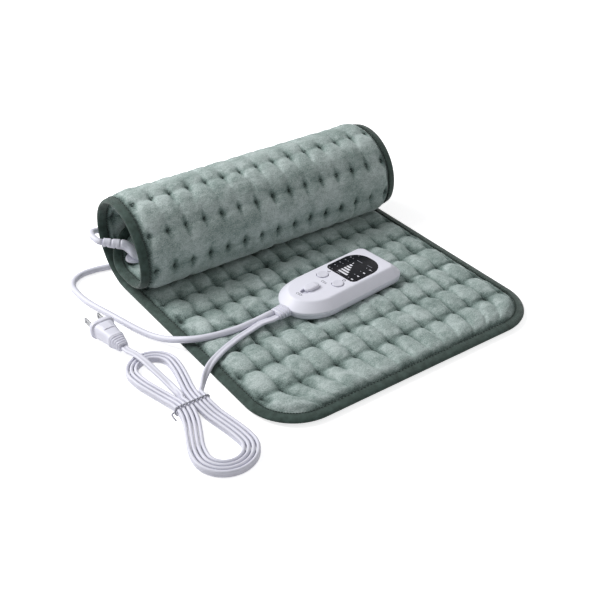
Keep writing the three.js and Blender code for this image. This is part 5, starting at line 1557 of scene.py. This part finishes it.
bootSet = {
    "length": 11.7,
    "sides": 44,
    "squareness": 2.6,
    "sharp": 50,
    "endRings": [(-0.3, 0), (-0.05, 0.3), (0, 0.9)],  # from the ribs' end: how far along, and the inset
    "ribs": 3,
    "ribDepth": 1.6,
    "end": (14.6, 8.2),
    "full": (16.4, 9.4),
    "neck": (12, 6.4),
    "neckEnd": -57.2,
    "flange": (14.4, 6.4),
    "flangeEnd": -55.8,
    "hole": (-68, -54),
    "clearance": 0.3,
}
caseSet = {
    "corner": 14,
    "cornerSteps": 15,
    "taper": 36,
    "taperSteps": 50,
    # height and inset of each ring
    "top": [
        (4.95, 0.45), (5.2, 0.1), (6.1, 0), (7.6, 0), (8, 0.2), (8.4, 0.6), (14.75, 7.3),
        (15.3, 8), (15.7, 8.7), (15.93, 9.4), (16, 10.2),
    ],
    "topHollow": [(2, 2.6), (7.6, 2.4), (12.8, 8.4), (14, 10.4)],
    "bottom": [(0, 3), (0.4, 2.2), (1.2, 1.35), (2.4, 0.8), (4.3, 0.45), (4.6, 0.7)],
    "bottomHollow": [(2, 4.4), (3.2, 2.8), (8, 2.4)],
    "surface": 16,
    "above": 19,
    "sharp": 32,
    # low and high, radius and upper radius of the posts, and of the holes in them
    "topPosts": (8.3, 14.1, 3.6, 3.2),
    "topPostHoles": (5, 12.6, 1.55),
    "bosses": (0.05, 8, 3.9),
    "headHoles": (-1, 2.3, 3),
    "bossHoles": (1, 9, 1.55),
    "pillarPosts": (1, 5.8, 2),
    "openFrom": 11,
    "screws": [(51, 20), (51, -20), (-40, 18), (-40, -18)],
    "pillars": [(-22, 12), (-22, -12), (38, 15), (38, -15)],
}
displaySet = {
    # the right and the left end: u, the way inwards, its corners' radius, steps and first angle
    "ends": [(46, -1, 17, 16, -90), (3, 1, 5.5, 8, 90)],
    "halfWidth": 19.5,
    "sharp": 40,
    "low": 15.1,
    "top": 16.1,
    "lowRings": [(0, 0.15), (0.12, 0)],
    "topRings": [(-0.15, 0), (-0.04, 0.05), (0, 0.2)],
    "clearance": 0.3,
    "ledge": 2,
}
buttonSet = {
    "u": -8,
    "v": 10.5,
    "steps": 64,
    "sharp": 35,
    "holeRadius": 6.05,
    "holeShift": 0.3,
    "profile": [
        (0, 11.5), (2, 11.5), (2, 12.7), (6.8, 12.7), (6.8, 13.7), (5.4, 13.7), (5.4, 16.2),
        (5.34, 16.5), (5.1, 16.72), (4.7, 16.8), (3.2, 16.68), (1.6, 16.56), (0, 16.52),
    ],
}
sliderSet = {
    "u": -31.5,
    "cap": (16, 9.6),
    "rings": [(16.3, 0.25), (16.5, 0), (18, 0.05), (18.5, 0.3), (18.8, 0.75), (18.9, 1.3)],
    "ridges": 4,
    "ridgePitch": 2.4,
    "ridge": (1.15, 6.8, 0.72),
    "ridgeMiddle": 18.65,
    "ridgeEdge": 0.00022,
    # height of the middle, and the size
    "inner": [(14.9, (7.6, 6.8, 4.4)), (13.2, (25, 11, 1))],
    "sharp": 35,
    "slot": (-44, -23.5),
    "slotWidth": 7.6,
}


def caseOutline(inset):
    length, width = controllerSet["length"] / 2, controllerSet["width"] / 2
    corner, taper, steps = caseSet["corner"], caseSet["taper"], caseSet["cornerSteps"]
    u, v = length - corner, width - corner
    corners = [(u, side * v, corner, corner, first, 90, steps) for side, first in ((-1, -90), (1, 0))]
    return outlineOf(corners + [(taper - length, 0, taper, width, 90, 180, caseSet["taperSteps"])], inset)


def displayOutline(inset):
    corners = []
    for end, sign, radius, steps, first in displaySet["ends"]:
        v = sign * (displaySet["halfWidth"] - radius)
        for across, angle in ((v, first), (-v, first + 90)):
            corners.append((end + sign * radius, across, radius, radius, angle, 90, steps))
    return outlineOf(corners, inset)


def slotOutline(left, right, width):
    radius = width / 2
    ends = ((right - radius, -90), (left + radius, 90))
    corners = [(u, 0, radius, radius, first, 180, 14) for u, first in ends]
    return lambda inset: outlineOf(corners, inset)


def stacked(outline, levels):
    # a solid in the controller's frame from its outline at each height and inset
    sides = len(outline(0))
    rings = [outline(inset) for w, inset in levels]
    order = lambda angle: round(angle / (2 * math.pi) * sides) % sides
    bm = straightTube(len(levels), sides)
    return shapeTube(bm, lambda angle, k: controllerPlace(*rings[k][order(angle)], levels[k][0]))


def upright(bm, u, v, low, high, radius, topRadius=None):
    # a round post in the controller's frame
    top = radius if topRadius is None else topRadius
    made = bmesh.ops.create_cone(bm, cap_ends=True, segments=32, radius1=radius, radius2=top, depth=1)
    for vert in made["verts"]:
        x, y, z = vert.co
        vert.co = controllerPlace(u + x, v + y, lerp(low, high, z + 0.5))


def posts(places, low, high, radius, topRadius=None):
    bm = bmesh.new()
    for u, v in places:
        upright(bm, u, v, low, high, radius, topRadius)
    faceOutwards(bm)
    return bm


def bootTube(stations):
    def shape(angle, ring):
        u, width, height = stations[ring]
        a, b = rounded(width, height, bootSet["squareness"], angle)
        return controllerPlace(u, a, controllerSet["cordHeight"] + b)

    return shapeTube(straightTube(len(stations), bootSet["sides"]), shape)


def addBoot(material):
    ribs = ribStations(*(bootSet[name] for name in ("length", "ribs", "ribDepth", "end", "full")))
    stations = [(bootEnd + run, width, height) for run, width, height in ribs]
    wide, high = bootSet["full"]
    end, neckEnd = bootEnd + bootSet["length"], bootSet["neckEnd"]
    stations += [(end + along, wide - inset, high - inset) for along, inset in bootSet["endRings"]]
    stations += [(end, *bootSet["neck"]), (neckEnd, *bootSet["neck"])]
    stations += [(neckEnd, *bootSet["flange"]), (bootSet["flangeEnd"], *bootSet["flange"])]
    boot = finishMesh("cordBoot", bootTube(stations), bootSet["sharp"])
    joinPiece(boot, "cord_pvc", material, "controller_boot")


def bootHole():
    size = [size + 2 * bootSet["clearance"] for size in bootSet["neck"]]
    return bootTube([(u, *size) for u in bootSet["hole"]])


def addShell(name, outlines, replaced, material, steps):
    # a hollow shell, with each step cut away or added in turn
    solid, hollow = (stacked(caseOutline, caseSet[levels]) for levels in outlines)
    shell = finishMesh(name, solid)
    cutAway(shell, hollow)
    for make, operation in steps:
        cutAway(shell, make(), operation)
    shell.data.set_sharp_from_angle(angle=math.radians(caseSet["sharp"]))
    joinPiece(shell, "case_plastic", material, replaced)


def addCase(material):
    low, above, clear = caseSet["openFrom"], caseSet["above"], displaySet["clearance"]
    ledge, seat = displaySet["ledge"], displaySet["low"] - clear
    slot = slotOutline(*sliderSet["slot"], sliderSet["slotWidth"])
    shift = buttonSet["holeShift"]
    holes = [(buttonSet["u"] - shift, side * buttonSet["v"] - shift) for side in (1, -1)]
    screws, cut, add = caseSet["screws"], "DIFFERENCE", "UNION"
    topSteps = [
        (lambda: posts(screws, *caseSet["topPosts"]), add),
        (lambda: posts(screws, *caseSet["topPostHoles"]), cut),
        (lambda: stacked(displayOutline, [(seat, -clear), (above, -clear)]), cut),
        (lambda: stacked(displayOutline, [(low, ledge), (above, ledge)]), cut),
        (lambda: stacked(slot, [(low, 0), (above, 0)]), cut),
        (lambda: posts(holes, low, above, buttonSet["holeRadius"]), cut),
        (bootHole, cut),
    ]
    bottomSteps = [
        (lambda: posts(screws, *caseSet["bosses"]), add),
        (lambda: posts(caseSet["pillars"], *caseSet["pillarPosts"]), add),
        (lambda: posts(screws, *caseSet["headHoles"]), cut),
        (lambda: posts(screws, *caseSet["bossHoles"]), cut),
        (bootHole, cut),
    ]
    addShell("caseTop", ("top", "topHollow"), "controller_top_shell", material, topSteps)
    addShell("caseBottom", ("bottom", "bottomHollow"), "controller_bottom_shell", material, bottomSteps)


def addButton(name, body, v, material):
    bm = bmesh.new()
    profile = [bm.verts.new((r, 0, w)) for r, w in buttonSet["profile"]]
    for a, b in zip(profile, profile[1:]):
        bm.edges.new((a, b))
    parts, steps = bm.verts[:] + bm.edges[:], buttonSet["steps"]
    bmesh.ops.spin(bm, geom=parts, axis=(0, 0, 1), angle=2 * math.pi, steps=steps, use_merge=True)
    weld(bm, 1e-5)
    for vert in bm.verts:
        vert.co = controllerPlace(buttonSet["u"] + vert.co.x, v + vert.co.y, vert.co.z)
    faceOutwards(bm)
    button = finishMesh(name, bm, buttonSet["sharp"])
    joinPiece(button, "case_plastic", material, body, body=body)


def addSlider(material):
    u, (long, wide) = sliderSet["u"], sliderSet["cap"]
    outline = slotOutline(u - long / 2, u + long / 2, wide)
    slider = finishMesh("powerSlider", stacked(outline, sliderSet["rings"]))
    bm = bmesh.new()
    half, across, high = sliderSet["ridge"]
    for k in range(sliderSet["ridges"]):
        # each ridge is a prism that stands on its corner, its middle just under the cap's face
        at = u + sliderSet["ridgePitch"] * (k - (sliderSet["ridges"] - 1) / 2)
        for vert in bmesh.ops.create_cube(bm, size=1)["verts"]:
            x, y, z = vert.co
            w = sliderSet["ridgeMiddle"] + high * (z - x)
            vert.co = controllerPlace(at + half * (x + z), across * y, w)
    faceOutwards(bm)
    roundEdges(bm, bm.edges[:], sliderSet["ridgeEdge"], 3)
    cutAway(slider, bm, "UNION")
    for middle, size in sliderSet["inner"]:
        # the neck through the slot, and the plate that keeps it in
        bm = bmesh.new()
        boxInto(bm, controllerPlace, (u, 0, middle), size)
        cutAway(slider, bm, "UNION")
    slider.data.set_sharp_from_angle(angle=math.radians(sliderSet["sharp"]))
    joinPiece(slider, "case_plastic", material, "power_slider", body="power_slider")


def addLens(material):
    rings = []
    for level in ("low", "top"):
        rings += [(displaySet[level] + up, inset) for up, inset in displaySet[level + "Rings"]]
    lens = finishMesh("displayLens", stacked(displayOutline, rings), displaySet["sharp"])
    joinPiece(lens, "dark_lens", material, "display_window")


addBoot(plugVinyl)
addCase(caseAbs)
addButton("heatButton", "heat_button", buttonSet["v"], controlAbs)
addButton("timerButton", "timer_button", -buttonSet["v"], controlAbs)
addSlider(controlAbs)
addLens(displayFilm)
print("controller is assembled")


# Printing on the controller: bars and dots on the display, words and marks beside the controls

markSet = {
    "thickness": 0.05,
    "sharp": 30,
    "sunk": 0.3,
    "bars": {"from": 7.5, "count": 6, "width": 2.2, "pitch": 3.7, "top": 6, "low": (-5.2, 5.7), "more": 0.6},
    # rows of dots: from, pitch, count, v, and each dot's half length and half width
    "litDots": [(6.8, 7.9, 4, -14, 1.4, 0.8)],
    "dimDots": [(5.5, 7, 5, 15.5, 0.9, 0.7), (5.5, 7, 6, 11.8, 0.6, 0.5), (6.8, 7.9, 4, -9.4, 0.7, 0.6)],
    "dimBars": [(5.6, 3.3, 0.7, 5), (34, 3.5, 0.7, 7), (34.9, -9.1, 0.6, 6), (30.3, -14.9, 0.6, 4.5)],
    "label": 4.2,
    "words": [("OFF", -46.9), ("ON", -16.2)],
    "heatBars": [(-0.7, 1.1, 1.1, 0.6), (-0.3, 0.0, 1.9, 0.6), (0.1, -1.1, 2.7, 0.6)],
    "ring": (1.45, 0.28, 0.03, 0.01),  # radius, half width, half thickness and height
    "ringSteps": 28,
    "hand": (0.45, 0, 1.1, 0.35),
}


def printDots(bm, dots, surface):
    # each dot has its place and its half length and half width
    for u, v, long, wide in dots:
        made = bmesh.ops.create_cone(bm, cap_ends=True, segments=20, radius1=1, radius2=1, depth=1)
        for vert in made["verts"]:
            x, y, z = vert.co
            w = surface + markSet["thickness"] * (z + markSet["sunk"])
            vert.co = controllerPlace(u + x * wide, v + y * long, w)
    faceOutwards(bm)


def printBars(bm, bars, surface):
    # each bar has its middle and its lengths along u and v
    for u, v, along, across in bars:
        middle = surface + markSet["thickness"] * markSet["sunk"]
        boxInto(bm, controllerPlace, (u, v, middle), (along, across, markSet["thickness"]))


def printWord(word, u, v):
    # its letters stand along the controller and read across it
    curve = bpy.data.curves.new(word, "FONT")
    curve.body, curve.size, curve.extrude = word, markSet["label"], markSet["thickness"] / 2
    curve.align_x, curve.align_y = "CENTER", "CENTER"
    holder = addObject(word, curve)
    data = evaluatedMesh(holder)
    bpy.data.objects.remove(holder)
    bm = bmesh.new()
    bm.from_mesh(data)
    bpy.data.meshes.remove(data)
    weld(bm, 1e-4)
    for vert in bm.verts:
        x, y, z = vert.co
        vert.co = controllerPlace(u + y, v - x, caseSet["surface"] + z)
    faceOutwards(bm)
    return bm


def dotRows(rows):
    dots = []
    for start, pitch, count, *dot in rows:
        dots += [(start + pitch * k, *dot) for k in range(count)]
    return dots


def litBars():
    # bars that shorten from left to right
    bars = markSet["bars"]
    places = []
    for k in range(bars["count"]):
        u = bars["from"] + bars["width"] / 2 + bars["pitch"] * k
        low = lerp(*bars["low"], k / (bars["count"] - 1)) - bars["more"]
        places.append((u, (low + bars["top"]) / 2, bars["width"], bars["top"] - low))
    return places


def timeRing(surface):
    radius, wide, thick, lift = markSet["ring"]
    steps = markSet["ringSteps"]

    def around(angle, k):
        turn, reach = 2 * math.pi * k / steps, radius + wide * math.cos(angle)
        v = reach * math.sin(turn) - buttonSet["v"]
        return controllerPlace(reach * math.cos(turn), v, surface + thick * math.sin(angle) + lift)

    bm = shapeTube(straightTube(steps + 1, 6, capped=False), around)
    weld(bm, 1e-6)
    return bm


def addPrinting():
    top, surface, v = displaySet["top"], caseSet["surface"], buttonSet["v"]
    beside = lambda bars, v: [(along, v + across, long, wide) for along, across, long, wide in bars]
    for name, bm, bars, dots, height, slot, ink in (
        ("litMarks", bmesh.new(), litBars(), markSet["litDots"], top, "case_plastic", whiteInk),
        ("dimMarks", bmesh.new(), markSet["dimBars"], markSet["dimDots"], top, "dark_lens", dimInk),
        *(
            ("word" + word, printWord(word, u, 0), [], [], surface, "black_plastic", greyInk)
            for word, u in markSet["words"]
        ),
        # three rising bars for heat, and a ring with a hand for the time
        ("heatMark", bmesh.new(), beside(markSet["heatBars"], v), [], surface, "black_plastic", greyInk),
        ("timeMark", timeRing(surface), beside([markSet["hand"]], -v), [], surface, "black_plastic", greyInk),
    ):
        printBars(bm, bars, height)
        printDots(bm, dotRows(dots), height)
        joinPiece(finishMesh(name, bm, markSet["sharp"]), slot, ink)


addPrinting()
print("controller is printed")


# Pieces carried over from the CAD

for material, names in (
    (spunBond, ["wire_carrier"]),
    (siliconeJacket, ["heating_wire"]),
    (laminate, ["display_board", "circuit_board"]),
    (blackNylon, ["display_header", "heat_tact_switch", "timer_tact_switch", "slide_switch_body", "triac"]),
    (zincSteel, ["slide_switch_lever", "fuse", *(f"case_screw_{k}" for k in range(1, 5))]),
    (epoxyYellow, ["capacitor"]),
):
    for name in names:
        dress(nodes[name], material)


# Floor, light and background

stageSet = {
    "floor": "#E9E9EB",
    "floorGlow": 0.72,
    "floorSize": 14,
    "floorDrop": 0.0004,
    "sky": 0.29,
    "aim": (-10, 190, 20),
    # each lamp's place, size in metres and power
    "lamps": {"key": ((-760, 1010, 1080), 0.9, 25), "front": ((500, -900, 900), 1.2, 1.5)},
}


def seenBy(owner, *rays):
    # 1 for rays of these kinds, otherwise 0
    path = addNode(owner, "ShaderNodeLightPath")
    seen = path.outputs[rays[0]]
    for name in rays[1:]:
        most = addNode(owner, "ShaderNodeMath", {"operation": "MAXIMUM"})
        owner.node_tree.links.new(seen, most.inputs[0])
        owner.node_tree.links.new(path.outputs[name], most.inputs[1])
        seen = most.outputs[0]
    return seen


def addStage():
    bm = bmesh.new()
    bmesh.ops.create_grid(bm, x_segments=1, y_segments=1, size=stageSet["floorSize"] / 2)
    floor = finishMesh("floor", bm)
    floor.location.z = -stageSet["floorDrop"]
    # matt paper that glows towards the camera, so that it stays even and white
    paper = {"Base Color": linear(stageSet["floor"]), "Emission Color": (1, 1, 1, 1), "Roughness": 0.9}
    material, shader = newMaterial("paperSweep", **paper)
    seen = seenBy(material, "Is Camera Ray", "Is Glossy Ray")
    glow = addNode(material, "ShaderNodeMapRange", {"To Max": stageSet["floorGlow"]}, {"Value": seen})
    material.node_tree.links.new(glow.outputs["Result"], shader.inputs["Emission Strength"])
    dress(floor, material)


def addSky():
    # white to the camera and in reflections, dimmer as a light
    world = bpy.data.worlds.new("studio")
    world.use_nodes = True
    background = world.node_tree.nodes["Background"]
    background.inputs["Color"].default_value = (1, 1, 1, 1)
    seen = seenBy(world, "Is Camera Ray", "Is Glossy Ray", "Is Transmission Ray")
    level = addNode(world, "ShaderNodeMapRange", {"To Min": stageSet["sky"]}, {"Value": seen})
    world.node_tree.links.new(level.outputs["Result"], background.inputs["Strength"])
    bpy.context.scene.world = world
    bpy.context.scene.view_settings.view_transform = "Standard"


def addLamp(name, position, size, power):
    data = bpy.data.lights.new(name, "AREA")
    data.size, data.energy = size, power
    aim(addObject(name, data), position, stageSet["aim"])


addStage()
addSky()
for name, lamp in stageSet["lamps"].items():
    addLamp(name, *lamp)
print("stage is set")
